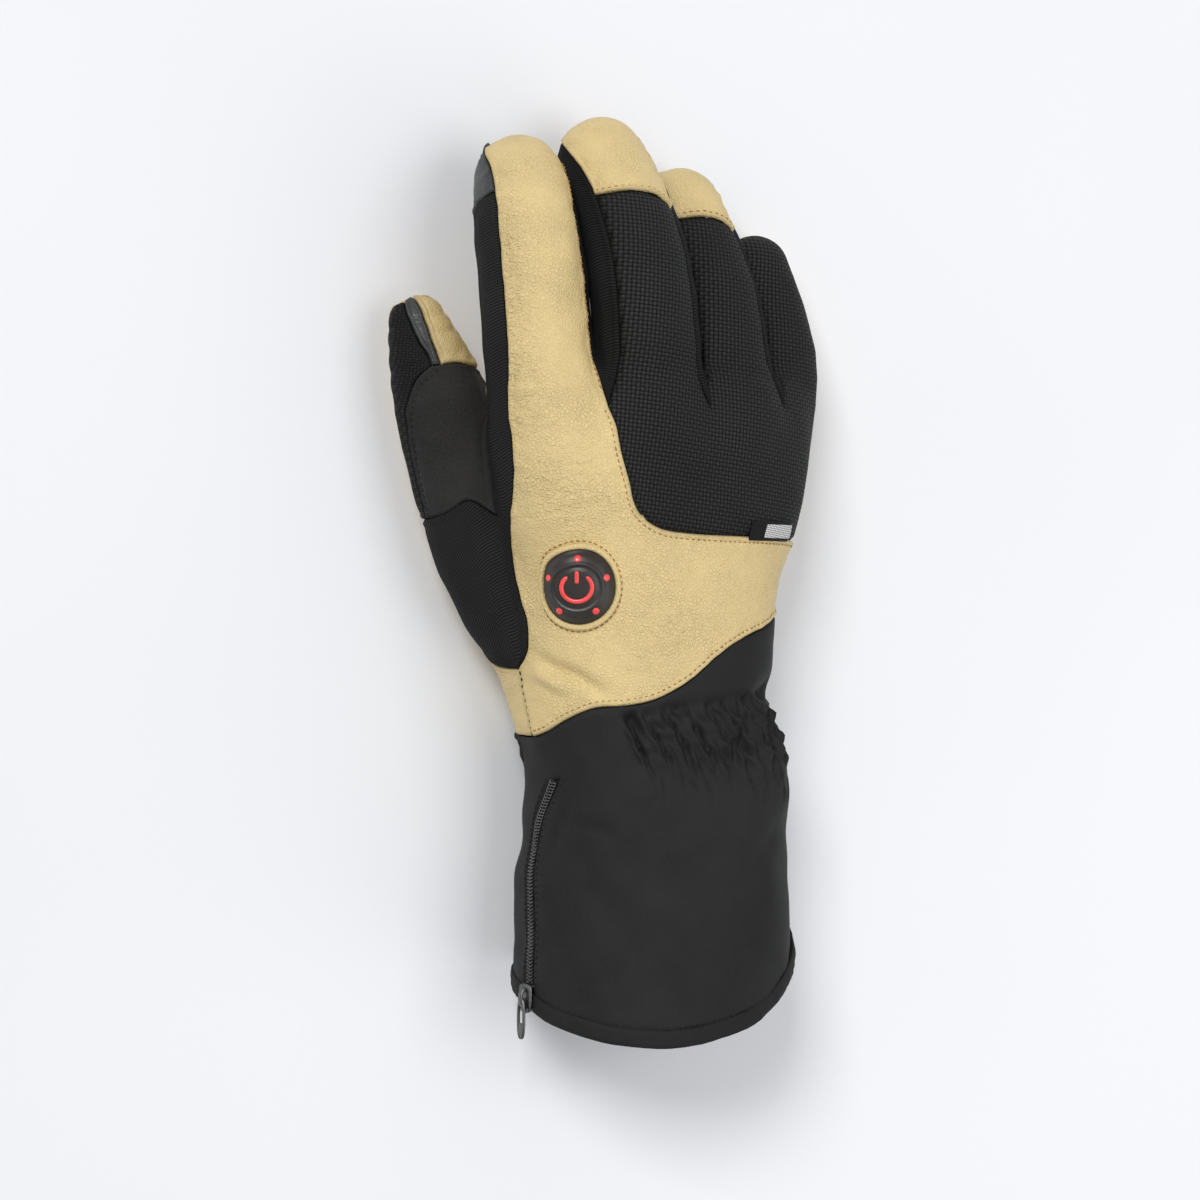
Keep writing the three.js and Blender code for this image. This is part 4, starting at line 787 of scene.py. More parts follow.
def weld(grids):
    """One net from several grids: points that coincide, or nearly do on their borders, become one."""
    points, faces, corner_uv, borders = [], [], [], []
    total = 0
    for grid in grids:
        rows, columns = grid.shape[:2]
        quads = grid_faces(rows, columns)
        flat = grid.reshape(-1, 3)
        sample = quads[:: max(1, len(quads) // 400)]
        cross = np.cross(flat[sample[:, 2]] - flat[sample[:, 0]], flat[sample[:, 3]] - flat[sample[:, 1]])
        if (cross * normals_at(flat[sample[:, 0]])).sum() < 0:
            quads = quads[:, ::-1]
        index = np.arange(rows * columns).reshape(rows, columns)
        border = np.concatenate([index[0], index[-1], index[1:-1, 0], index[1:-1, -1]])
        points.append(flat)
        faces.append(quads + total)
        corner_uv.append(arc_grid(grid).reshape(-1, 2)[quads])
        borders.append(border + total)
        total += len(flat)
    points, faces, corner_uv = (np.concatenate(part) for part in (points, faces, corner_uv))
    _, first, same = np.unique(np.round(points / SAME_POINT).astype(np.int64), axis=0, return_index=True,
                               return_inverse=True)
    owner = first[same.reshape(-1)]
    for number in range(1, len(borders)):
        mine, others = borders[number], np.concatenate(borders[:number])
        away = np.linalg.norm(points[mine][:, None] - points[others][None], axis=2)
        near = away.argmin(1)
        close = away[np.arange(len(mine)), near] < WELD
        owner[mine[close]] = owner[others[near[close]]]
    faces = owner[faces]
    used, faces = np.unique(faces, return_inverse=True)
    return points[used], faces.reshape(-1, 4), corner_uv


def split_faces(faces, corner_uv):
    """Quads that lost a corner become triangles, and those that lost more are dropped."""
    equal = faces == np.roll(faces, -1, axis=1)
    folded = (faces[:, 0] == faces[:, 2]) | (faces[:, 1] == faces[:, 3])
    whole = ~folded & (equal.sum(1) == 0)
    part = ~folded & (equal.sum(1) == 1)
    keep = ~equal[part]
    triangles = faces[part][keep].reshape(-1, 3)
    return faces[whole], corner_uv[whole], triangles, corner_uv[part][keep].reshape(-1, 3, 2)


def rim_of(faces):
    """Edges that belong to one face only, as pairs of points."""
    pairs = np.stack([faces, np.roll(faces, -1, axis=1)], -1).reshape(-1, 2)
    pairs = pairs[pairs[:, 0] != pairs[:, 1]]
    _, where, count = np.unique(np.sort(pairs, 1), axis=0, return_index=True, return_counts=True)
    return pairs[where[count == 1]]


def rim_distance(points, faces):
    """Distance from each point to the nearest edge of the rim."""
    rim = rim_of(faces)
    return distance_to(points, points[rim[:, 0]], points[rim[:, 1]])


def distance_to(points, a, b, batch=2000):
    """Distance from points to the nearest of the segments from a to b, found by way of their middles."""
    middle = (a + b) / 2
    result = np.empty(len(points))
    for start in range(0, len(points), batch):
        part = points[start:start + batch]
        square = (part**2).sum(1)[:, None] - 2 * part @ middle.T + (middle**2).sum(1)[None]
        near = np.argpartition(square, min(3, len(middle) - 1), axis=1)[:, :3]
        arm, away = (b - a)[near], part[:, None] - a[near]
        h = clamp01((arm * away).sum(2) / np.maximum((arm * arm).sum(2), 1e-12))
        result[start:start + batch] = np.linalg.norm(away - h[..., None] * arm, axis=2).min(1)
    return result


def waves(points, length, seed, count=7):
    """Sum of sines in fixed directions, about 1 high, with crests about length apart."""
    random = np.random.default_rng(seed)
    direction = unit(random.normal(size=(count, 3)))
    rate = 2 * np.pi / (length * random.uniform(0.7, 1.5, count))
    phase = random.uniform(0, 2 * np.pi, count)
    return np.sin(points @ (direction * rate[:, None]).T + phase).sum(1) / math.sqrt(count)


def turned_edge(rim, radius, depth=None):
    """Quarter of an ellipse: -depth at the rim, level from radius inward."""
    depth = radius if depth is None else depth
    return -depth * (1 - np.sqrt(1 - np.clip(1 - rim / radius, 0, 1) ** 2))


def bump(x, middle, width):
    """A bell curve, 1 at its middle."""
    return np.exp(-(((x - middle) / width) ** 2))


def crease(points, path, width, depth):
    """A furrow or, for a depth below zero, a ridge along a path, as deep as depth and fading at its ends."""
    path = press(even(np.asarray(path, float), 40), steps=4)
    away = distance_to(points, path[:-1], path[1:])
    ends = np.minimum(np.linalg.norm(points - path[0], axis=1), np.linalg.norm(points - path[-1], axis=1))
    length = np.linalg.norm(np.diff(path, axis=0), axis=1).sum()
    return -depth * bump(away, 0, width) * smooth(ends, 0, 0.35 * length)


def worn_back(points, rim):
    """Where the back leather is wrinkled: on the index finger's outer side, above and below the button."""
    strip = pattern()[1]["strips"]["index"]["back_left"]
    side = distance_to(points, strip[:-1], strip[1:])
    y = points[:, 1]
    worn = np.exp(-((side / 10) ** 2)) * smooth(y, 62, 78) * (1 - smooth(y, 160, 182))
    for middle, reach, share in (([-36, 70], 17, 0.75), ([-8, 27], 15, 0.35)):
        away = np.linalg.norm(points[:, :2] - middle, axis=1)
        worn = np.maximum(worn, share * bump(away, 0, reach))
    return worn * smooth(rim, 0.5, 3)


def leather_relief(points, rim, seed=1, groove=1.9, ripple=0.3):
    """Turned edge, swelling beside the seam, groove under the stitches, puckers and a slow ripple."""
    height = turned_edge(rim, 1.0) + 0.35 * bump(rim, 1.0, 0.6)
    height -= 0.22 * bump(rim, groove, 0.4)
    height += 0.24 * bump(rim, groove, 2.6) * waves(points, 5.5, seed)
    height += ripple * waves(points, 24, seed + 1) * smooth(rim, 1, 8)
    return height + 0.07 * waves(points, 7, seed + 2) * smooth(rim, 2, 6)


def knit_relief(points, rim, seed=5, swell=-0.25):
    """Soft turned edge, a second ridge beside it, slow waves, and a swell between the seams."""
    height = turned_edge(rim, 1.1, 0.9) + 0.2 * bump(rim, 1.3, 0.7) - 0.12 * bump(rim, 2.6, 0.5)
    return height + 0.18 * waves(points, 15, seed) + swell * smooth(rim, 1.5, 8)


def rucks(points, length, seed, count=9):
    """Sharp furrows across the fingers: 1 - |mean of sines| whose directions lie near the y axis."""
    random = np.random.default_rng(seed)
    direction = unit(np.array([0, 1.0, 0]) + random.normal(size=(count, 3)) * [0.42, 0.05, 0.3])
    rate = np.pi / (length * random.uniform(0.7, 1.5, count))
    phase = random.uniform(0, 2 * np.pi, count)
    total = np.sin(points @ (direction * rate[:, None]).T + phase).sum(1) / math.sqrt(count)
    return 1 - clamp01(np.abs(total) * 1.6)


def cloth_relief(points, rim, seed=9):
    """Edge tucked under the leather, and slow padded waves."""
    return (-1.0 * (1 - smooth(rim, 0, 2.2))
            + 0.42 * waves(points, 30, seed) * smooth(rim, 1, 12)
            + 0.12 * waves(points, 11, seed + 1) * smooth(rim, 1, 6))


def add_attribute(obj, name, values):
    """One number for each point of the piece, which materials read by name."""
    obj.data.attributes.new(name, "FLOAT", "POINT").data.foreach_set("value", values.astype(np.float32))


def mesh_object(name, points, faces, corner_uv=None, triangles=None, triangle_uv=None, rim=None):
    """A mesh in metres from quads and triangles, with a UV map in metres and the rim's distance."""
    triangles = np.zeros((0, 3), int) if triangles is None else triangles
    corners = np.concatenate([faces.reshape(-1), triangles.reshape(-1)]).astype(np.int32)
    starts = np.concatenate([np.arange(len(faces)) * 4, len(faces) * 4 + np.arange(len(triangles)) * 3])
    mesh = bpy.data.meshes.new(name)
    mesh.vertices.add(len(points))
    mesh.vertices.foreach_set("co", np.ascontiguousarray(points, np.float32).reshape(-1))
    mesh.loops.add(len(corners))
    mesh.loops.foreach_set("vertex_index", corners)
    mesh.polygons.add(len(starts))
    mesh.polygons.foreach_set("loop_start", starts.astype(np.int32))
    mesh.polygons.foreach_set("use_smooth", np.ones(len(starts), bool))
    if corner_uv is not None:
        parts = [corner_uv.reshape(-1, 2)]
        if triangle_uv is not None:
            parts.append(triangle_uv.reshape(-1, 2))
        layer = mesh.uv_layers.new(name="cut")
        layer.data.foreach_set("uv", (np.concatenate(parts) * MM).astype(np.float32).reshape(-1))
    mesh.update(calc_edges=True)
    mesh.validate()
    obj = bpy.data.objects.new(name, mesh)
    bpy.context.scene.collection.objects.link(obj)
    if rim is not None:
        add_attribute(obj, "rim", rim * MM)
    return obj


def place(obj, look, slot, nodes=()):
    """Gives a piece its material and its body and hides the parts of model.glb that it stands for; slot is
    not used.
    """
    obj.data.materials.append(look)
    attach(obj, "root")
    if nodes:
        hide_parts(*nodes)
    return obj


def wall(obj, thickness):
    """Gives a sheet its thickness, inward from the outside."""
    solid = obj.modifiers.new("wall", "SOLIDIFY")
    solid.thickness = thickness * MM
    solid.offset = -1
    solid.use_rim = True


def sewn_piece(name, look, slot, relief, factor=4, thickness=1.2, grids=None, nodes=None):
    """A piece between its seams: refined, welded, raised by its relief and given its thickness."""
    grids = pattern()[0][name] if grids is None else grids
    points, faces, corner_uv = weld([refine(grid, factor) for grid in grids])
    normal = normals_at(points)
    rim = rim_distance(points, faces)
    height = relief(points, rim)
    outside = points + normal * height[:, None]
    outside[:, 2] = np.maximum(outside[:, 2], FLOOR_CLEAR)
    SHAPES[name] = (points, height)
    quads, quad_uv, triangles, triangle_uv = split_faces(faces, corner_uv)
    obj = mesh_object(name + "_sewn", to_frame(outside), quads, quad_uv, triangles, triangle_uv, rim)
    wall(obj, thickness)
    place(obj, look, slot, (name,) if nodes is None else nodes)
    return obj


_PATTERN = []


def pattern():
    """The cut pattern, worked out once."""
    if not _PATTERN:
        _PATTERN.append(cut_pattern())
    return _PATTERN[0]


def height_of(name, points, batch=300):
    """Height of a finished piece over the form at the points nearest to these."""
    rest, height = SHAPES[name]
    result = np.empty(len(points))
    for start in range(0, len(points), batch):
        part = points[start:start + batch]
        square = (rest**2).sum(1)[None] - 2 * part @ rest.T
        result[start:start + batch] = height[square.argmin(1)]
    return result


def beside(line, offset):
    """The line moved sideways over the surface by offset, to its left as seen from outside."""
    count = max(8, int(np.linalg.norm(np.diff(line, axis=0), axis=1).sum() / 0.7))
    line = press(even(line, count))
    along = unit(np.gradient(line, axis=0))
    side = unit(np.cross(normals_at(line), along))
    return press(line + offset * side)


def sweep(path, up, profile, scale=None):
    """Carries a closed profile of (sideways, up) pairs along a path; a ring of scale 0 closes an end."""
    along = unit(np.gradient(path, axis=0))
    side = unit(np.cross(up, along))
    up = np.cross(along, side)
    scale = np.ones(len(path)) if scale is None else scale
    ring = profile[None] * scale[:, None, None]
    return path[:, None] + ring[..., :1] * side[:, None] + ring[..., 1:] * up[:, None]


def closed_grid(grid):
    """Faces and points of a grid whose columns run round; rows of one point close its ends."""
    grid = np.concatenate([grid, grid[:, :1]], 1)
    flat = grid.reshape(-1, 3)
    quads = grid_faces(*grid.shape[:2])
    _, first, same = np.unique(np.round(flat / 0.0005).astype(np.int64), axis=0, return_index=True,
                               return_inverse=True)
    quads = first[same.reshape(-1)][quads]
    uv = arc_grid(grid).reshape(-1, 2)[grid_faces(*grid.shape[:2])]
    used, quads = np.unique(quads, return_inverse=True)
    return flat[used], quads.reshape(-1, 4), uv


def solid_object(name, grids):
    """One object from closed grids in the glove's millimetres, faces turned outward."""
    points, quads, uvs, total = [], [], [], 0
    for grid in grids:
        p, q, uv = closed_grid(grid)
        a, b, c, d = (p[q[:, k]] for k in range(4))
        if (np.cross(c - a, d - b) * (a + c - 2 * p.mean(0))).sum() < 0:
            q, uv = q[:, ::-1], uv[:, ::-1]
        points.append(p)
        quads.append(q + total)
        uvs.append(uv)
        total += len(p)
    faces, quad_uv, triangles, triangle_uv = split_faces(np.concatenate(quads), np.concatenate(uvs))
    return mesh_object(name, to_frame(np.concatenate(points)), faces, quad_uv, triangles, triangle_uv)


def circle(count, wide, high):
    """An ellipse of count points."""
    turn = np.linspace(0, 2 * np.pi, count, endpoint=False)
    return np.stack([wide * np.cos(turn), high * np.sin(turn)], -1)


def signed_power(x, power):
    """|x|^power with the sign of x."""
    return np.sign(x) * np.abs(x) ** power


def rounded(count, wide, high, power=4.0):
    """A superellipse profile: |x / wide|^power + |y / high|^power = 1."""
    turn = np.linspace(0, 2 * np.pi, count, endpoint=False)
    return np.stack([wide * signed_power(np.cos(turn), 2 / power),
                     high * signed_power(np.sin(turn), 2 / power)], -1)


def linear(red, green, blue):
    """A screen colour from 0 to 255 as the shader's linear colour."""
    value = np.array([red, green, blue]) / 255
    value = np.where(value <= 0.04045, value / 12.92, ((value + 0.055) / 1.055) ** 2.4)
    return (*value.tolist(), 1.0)


def grey(value):
    """A grey from 0 to 255 as the shader's linear colour."""
    return linear(value, value, value)


def shade(colour, by):
    """The colour made darker or lighter by a factor."""
    return tuple(part * by for part in colour[:3]) + (1.0,)


class Graph:
    """Short words for building a node tree."""

    def __init__(self, tree):
        self.tree = tree

    def add(self, kind, values=None, **settings):
        """A node with its settings, and its sockets linked or set by name or number."""
        node = self.tree.nodes.new(kind)
        for key, value in settings.items():
            setattr(node, key, value)
        for key, value in (values or {}).items():
            if isinstance(value, bpy.types.NodeSocket):
                self.tree.links.new(value, node.inputs[key])
            else:
                node.inputs[key].default_value = value
        return node

    def math(self, operation, *values):
        """One step of arithmetic."""
        return self.add("ShaderNodeMath", dict(enumerate(values)), operation=operation).outputs[0]

    def ramp(self, value, low, high, to_low=0.0, to_high=1.0):
        """The value brought from low..high to to_low..to_high and held there."""
        return self.add("ShaderNodeMapRange", {0: value, 1: low, 2: high, 3: to_low, 4: to_high}).outputs[0]

    def noise(self, vector, scale, detail=2.0, roughness=0.5):
        """Smooth noise around 0.5."""
        values = {"Vector": vector, "Scale": scale, "Detail": detail, "Roughness": roughness}
        return self.add("ShaderNodeTexNoise", values).outputs[0]

    def mix(self, factor, first, second):
        """The first colour at factor 0, the second at 1."""
        return self.add("ShaderNodeMix", {0: factor, 6: first, 7: second}, data_type="RGBA").outputs[2]

    def group(self, tree, values):
        """A node group's outputs."""
        return self.add("ShaderNodeGroup", values, node_tree=tree).outputs

    def attribute(self, name):
        """A number that the piece holds for each point."""
        return self.add("ShaderNodeAttribute", attribute_name=name).outputs["Fac"]


def node_group(name, inputs, outputs, build):
    """A shader node group, made once: build(graph, inputs) gives the output sockets by name."""
    if name in bpy.data.node_groups:
        return bpy.data.node_groups[name]
    tree = bpy.data.node_groups.new(name, "ShaderNodeTree")
    for label, kind, default in inputs:
        socket = tree.interface.new_socket(label, in_out="INPUT", socket_type=kind)
        if default is not None:
            socket.default_value = default
    for label in outputs:
        tree.interface.new_socket(label, in_out="OUTPUT", socket_type="NodeSocketFloat")
    graph = Graph(tree)
    entry, leave = tree.nodes.new("NodeGroupInput"), tree.nodes.new("NodeGroupOutput")
    made = build(graph, entry.outputs)
    for label in outputs:
        tree.links.new(made[label], leave.inputs[label])
    return tree


def grain_group():
    """Pebbles: distance to the edges of bent Voronoi cells, with finer pores and coarser patches."""
    def build(g, i):
        bend = g.add("ShaderNodeTexNoise", {"Vector": i["Place"], "Scale": 420.0, "Detail": 1.0})
        reach = (0.0009, 0.0009, 0.0009)
        bent = g.add("ShaderNodeVectorMath", {0: bend.outputs[1], 1: reach}, operation="MULTIPLY").outputs[0]
        place = g.add("ShaderNodeVectorMath", {0: i["Place"], 1: bent}, operation="ADD").outputs[0]
        cells = g.add("ShaderNodeTexVoronoi", {"Vector": place, "Scale": i["Cells"]},
                      feature="DISTANCE_TO_EDGE")
        pebble = g.ramp(cells.outputs["Distance"], 0.0, 0.22)
        pores = g.noise(i["Place"], 2600.0, 2.0)
        patches = g.ramp(g.noise(i["Place"], 55.0, 2.0), 0.3, 0.7, 0.45, 1.0)
        height = g.math("ADD", g.math("MULTIPLY", pebble, patches), g.math("MULTIPLY", pores, 0.35))
        # Valley marks where the pebbles meet; the leather paints shade there
        return {"Height": height, "Valley": g.math("MULTIPLY", g.math("SUBTRACT", 1.0, pebble), patches)}

    return node_group("grain", [("Place", "NodeSocketVector", None), ("Cells", "NodeSocketFloat", 900.0)],
                      ["Height", "Valley"], build)


def tone_group():
    """Slow light and dark patches, a mask of the seam's rim where the finish is rubbed, and the rim mask
    alone, with which the leather paints shade at its seams.
    """
    def build(g, i):
        slow = g.noise(i["Place"], i["Patches"], 3.0, 0.55)
        # edge: the seam's rim, for the rubbed flecks and for the leather's painted shade at the seam
        edge = g.ramp(i["Rim"], 0.0002, 0.0022, 1.0, 0.0)
        fleck = g.ramp(g.noise(i["Place"], 700.0, 2.0), 0.4, 0.7)
        return {"Tone": g.ramp(slow, 0.32, 0.68), "Rub": g.math("MULTIPLY", edge, fleck), "Edge": edge}

    return node_group("tone", [("Place", "NodeSocketVector", None), ("Patches", "NodeSocketFloat", 28.0),
                               ("Rim", "NodeSocketFloat", 0.01)], ["Tone", "Rub", "Edge"], build)


def weave_group():
    """Plain weave: |sin| humps of the warp where both sines have one sign, of the weft elsewhere."""
    def build(g, i):
        part = g.add("ShaderNodeSeparateXYZ", {0: i["Place"]}).outputs
        u = g.math("SINE", g.math("MULTIPLY", part[0], i["Rate"]))
        v = g.math("SINE", g.math("MULTIPLY", part[1], i["Rate"]))
        over = g.math("GREATER_THAN", g.math("MULTIPLY", u, v), 0.0)
        warp, weft = g.math("ABSOLUTE", u), g.math("ABSOLUTE", v)
        height = g.math("ADD", g.math("MULTIPLY", warp, over),
                        g.math("MULTIPLY", weft, g.math("SUBTRACT", 1.0, over)))
        fuzz = g.math("MULTIPLY", g.noise(i["Place"], 3000.0, 1.0), 0.3)
        gap = g.ramp(g.math("MULTIPLY", warp, weft), 0.05, 0.6, 1.0, 0.0)
        return {"Height": g.math("ADD", height, fuzz), "Gap": gap, "Over": over}

    return node_group("weave", [("Place", "NodeSocketVector", None), ("Rate", "NodeSocketFloat", 5000.0)],
                      ["Height", "Gap", "Over"], build)


def rib_group():
    """Ribs: one sine across the map, crossed by the finer sine of the stitches along each rib."""
    def build(g, i):
        part = g.add("ShaderNodeSeparateXYZ", {0: i["Place"]}).outputs
        lean = g.math("ADD", g.math("MULTIPLY", part[0], i["Slant"]), part[1])
        wobble = g.math("MULTIPLY", g.noise(i["Place"], 160.0, 1.0), 0.0006)
        phase = g.math("MULTIPLY", g.math("ADD", lean, wobble), i["Rate"])
        rib = g.ramp(g.math("SINE", phase), -1.0, 1.0)
        cross = g.math("SUBTRACT", part[0], g.math("MULTIPLY", part[1], i["Slant"]))
        loop = g.math("ABSOLUTE", g.math("SINE", g.math("MULTIPLY", cross, 4200.0)))
        height = g.math("ADD", rib, g.math("MULTIPLY", loop, 0.25))
        return {"Height": height, "Rib": rib}

    return node_group("rib", [("Place", "NodeSocketVector", None), ("Slant", "NodeSocketFloat", 0.5),
                              ("Rate", "NodeSocketFloat", 5700.0)], ["Height", "Rib"], build)


def new_look(name, **sockets):
    """A material with one Principled shader whose own sockets hold these values."""
    look = bpy.data.materials.new(name)
    look.use_nodes = True
    shader = look.node_tree.nodes["Principled BSDF"]
    for key, value in sockets.items():
        shader.inputs[key.replace("_", " ").title().replace("Ior", "IOR")].default_value = value
    graph = Graph(look.node_tree)
    place = graph.add("ShaderNodeTexCoord").outputs["Object"]
    return look, graph, shader, place


def link(graph, shader, **sources):
    """Links the shader's sockets, named in small letters."""
    for key, value in sources.items():
        graph.tree.links.new(value, shader.inputs[key.replace("_", " ").title()])


def raised(graph, height, distance, under=None):
    """The normal bent by a height, over another bent normal if there is one."""
    values = {"Height": height, "Distance": distance}
    if under is not None:
        values["Normal"] = under
    return graph.add("ShaderNodeBump", values).outputs[0]


# Depth of the leather's fine wrinkles in metres
WRINKLE_DEPTH = 0.00012


def leather_look(name, light, dark, cells=900.0, rough=(0.42, 0.6), depth=0.0002, valley_shade=0.12):
    """Grained leather: tone patches, painted shade in the valleys between pebbles and along the seam's rim,
    rubbed rim, pebble bump.
    """
    look, g, shader, place = new_look(name, specular_ior_level=0.42)
    tone = g.group(tone_group(), {"Place": place, "Patches": 30.0, "Rim": g.attribute("rim")})
    grain = g.group(grain_group(), {"Place": place, "Cells": cells})
    flat = g.add("ShaderNodeMapping", {"Vector": place, "Scale": (0.42, 1.0, 0.6)}).outputs[0]
    fold = g.math("ABSOLUTE", g.math("SUBTRACT", g.noise(flat, 620.0, 3.0, 0.6), 0.5))
    wrinkle = g.math("MULTIPLY", g.ramp(fold, 0.0, 0.09), g.ramp(g.attribute("worn"), 0.0, 1.0, 0.25, 1.6))
    colour = g.mix(tone["Tone"], dark, light)
    # painted shade: the valleys between the pebbles darkened
    colour = g.mix(g.math("MULTIPLY", grain["Valley"], valley_shade), colour, shade(dark, 0.45))
    # painted shade: darker along the seam's rim, where the leather turns into the seam
    colour = g.mix(g.math("MULTIPLY", tone["Edge"], 0.35), colour, shade(dark, 0.5))
    colour = g.mix(g.math("MULTIPLY", tone["Rub"], 0.25), colour, light)
    pebbled = raised(g, grain["Height"], depth)
    link(g, shader, base_color=colour, roughness=g.ramp(grain["Height"], 0.0, 1.4, rough[1], rough[0]),
         normal=raised(g, wrinkle, WRINKLE_DEPTH, under=pebbled))
    return look


def weave_look(name, light, dark, cell, depth):
    """Woven cloth: warp and weft of slightly different tone, with painted shade in the gaps between the
    threads.
    """
    look, g, shader, place = new_look(name, specular_ior_level=0.16)
    tone = g.group(tone_group(), {"Place": place, "Patches": 26.0, "Rim": g.attribute("rim")})
    turned = g.add("ShaderNodeMapping", {"Vector": place, "Rotation": (0.0, 0.0, 0.12)}).outputs[0]
    weave = g.group(weave_group(), {"Place": turned, "Rate": math.pi / cell})
    colour = g.mix(tone["Tone"], dark, light)
    colour = g.mix(g.math("MULTIPLY", weave["Over"], 0.3), colour, shade(light, 1.5))
    # painted shade: the gaps between the threads darkened
    colour = g.mix(weave["Gap"], colour, shade(dark, 0.3))
    link(g, shader, base_color=colour, roughness=g.ramp(weave["Height"], 0.0, 1.3, 0.85, 0.6),
         normal=raised(g, weave["Height"], depth))
    return look


def rib_look(name, light, dark, slant, period, depth):
    """Ribbed knit along the piece's own map, with painted shade in the furrows between the ribs."""
    look, g, shader, place = new_look(name, specular_ior_level=0.14)
    cut = g.add("ShaderNodeUVMap", uv_map="cut").outputs[0]
    tone = g.group(tone_group(), {"Place": place, "Patches": 40.0, "Rim": g.attribute("rim")})
    rib = g.group(rib_group(), {"Place": cut, "Slant": slant, "Rate": 2 * math.pi / period})
    # painted shade: the furrows between the ribs dark, the crests in the yarn's lighter colour
    colour = g.mix(rib["Rib"], dark, light)
    colour = g.mix(g.math("MULTIPLY", tone["Tone"], 0.35), colour, dark)
    link(g, shader, base_color=colour, roughness=g.ramp(rib["Height"], 0.0, 1.2, 0.9, 0.7),
         normal=raised(g, rib["Height"], depth))
    return look


def matte_look(name, light, dark, grains, rough=(0.75, 0.95), depth=0.00012, sheen=0.0):
    """Cloth or suede without a visible weave: fibre noise at one size over slow tone patches."""
    look, g, shader, place = new_look(name, specular_ior_level=0.15, sheen_weight=sheen,
                                      sheen_roughness=0.45)
    tone = g.group(tone_group(), {"Place": place, "Patches": 30.0, "Rim": g.attribute("rim")})
    fibre = g.noise(place, grains, 4.0, 0.65)
    colour = g.mix(tone["Tone"], dark, light)
    colour = g.mix(g.ramp(fibre, 0.35, 0.7, 0.0, 0.55), colour, shade(light, 1.7))
    link(g, shader, base_color=colour, roughness=g.ramp(fibre, 0.3, 0.7, rough[0], rough[1]),
         normal=raised(g, fibre, depth))
    return look


def smooth_look(name, light, dark, rough, metal=0.0, coat=0.0):
    """Moulded rubber, plastic or metal: fine scuffs in tone, roughness and bump."""
    look, g, shader, place = new_look(name, metallic=metal, coat_weight=coat, coat_roughness=0.2)
    scuff = g.noise(place, 900.0, 4.0, 0.7)
    slow = g.noise(place, 90.0, 2.0)
    bright = tuple(min(1.0, part) for part in shade(light, 1.6))
    colour = g.mix(g.ramp(slow, 0.35, 0.65), dark, light)
    colour = g.mix(g.ramp(scuff, 0.5, 0.75, 0.0, 0.3), colour, bright)
    link(g, shader, base_color=colour, roughness=g.ramp(scuff, 0.3, 0.7, rough[0], rough[1]),
         normal=raised(g, scuff, 0.00003))
    return look


# Finished materials, by name
LOOKS = {}


def look_of(name):
    """The finishes by name, each made once from the sizes and colours in the sidebar."""
    if name in LOOKS:
        return LOOKS[name]
    colours = bpy.context.scene.glove_finish
    tan, black = tuple(colours.leather), tuple(colours.cloth)
    cells = 1 / (colours.grain * MM)
    makers = {
        "tan": lambda: leather_look("goat leather", shade(tan, 1.02), shade(tan, 0.92), cells),
        # thumb leather: a darker copy of the tan leather, painted shade for the thumb's low tip
        "tan_shaded": lambda: leather_look("thumb leather", shade(tan, 0.88), shade(tan, 0.78), cells),
        "glossy": lambda: leather_look("touch leather", linear(66, 67, 66), linear(42, 43, 42), 1100.0,
                                       (0.28, 0.42), 0.0001, 0.2),
        "woven": lambda: weave_look("woven back", shade(black, 1.42), shade(black, 1.0), 0.00135, 0.00035),
        "mesh": lambda: weave_look("thumb mesh", grey(33), grey(24), 0.0009, 0.00015),
        "tape": lambda: weave_look("zip tape", grey(44), grey(28), 0.0008, 0.0001),
        "tab": lambda: weave_look("label tab", grey(36), grey(24), 0.0007, 0.0001),
        "pale": lambda: weave_look("pale band", linear(232, 232, 230), linear(205, 205, 203), 0.0007,
                                   0.00008),
        "rib": lambda: rib_look("rib knit", grey(42), grey(17), 0.55, 0.0011, 0.00028),
        "rib_index": lambda: rib_look("rib knit of the index side", grey(47), grey(22), -0.35, 0.001,
                                      0.00025),
        "suede": lambda: matte_look("suede", linear(45, 44, 43), linear(32, 31, 30), 1500.0, (0.85, 1.0),
                                    0.00014, 0.08),
        "shell": lambda: matte_look("softshell", grey(35), grey(25), 2400.0, (0.55, 0.72), 0.00007),
        "binding": lambda: matte_look("hem band", grey(33), grey(25), 1800.0, (0.6, 0.8)),
        "thread": lambda: matte_look("brown thread", linear(158, 122, 74), linear(120, 88, 52), 2500.0),
        "black_thread": lambda: matte_look("black thread", linear(40, 38, 36), linear(22, 21, 20), 2500.0),
        "rubber": lambda: smooth_look("button rubber", linear(50, 45, 41), linear(38, 34, 31), (0.34, 0.48)),
        "red": lambda: smooth_look("red lens", linear(255, 84, 80), linear(236, 66, 62), (0.25, 0.4),
                                   coat=0.3),
        "metal": lambda: smooth_look("zip metal", linear(112, 112, 111), linear(74, 74, 73), (0.25, 0.42),
                                     metal=1.0),
        "teeth": lambda: smooth_look("zip teeth", grey(104), grey(70), (0.3, 0.45)),
    }
    LOOKS[name] = makers[name]()
    return LOOKS[name]


class GloveFinish(bpy.types.PropertyGroup):
    """Colours and grain that a user would change"""
    leather: bpy.props.FloatVectorProperty(
        name="Leather", description="Colour of the goat leather", subtype="COLOR", size=3, min=0, max=1,
        default=linear(223, 198, 141)[:3])
    cloth: bpy.props.FloatVectorProperty(
        name="Cloth", description="Colour of the woven back", subtype="COLOR", size=3, min=0, max=1,
        default=grey(38)[:3])
    grain: bpy.props.FloatProperty(
        name="Grain", description="Size of the leather's pebbles in millimetres",
        default=1.15, min=0.4, max=4)


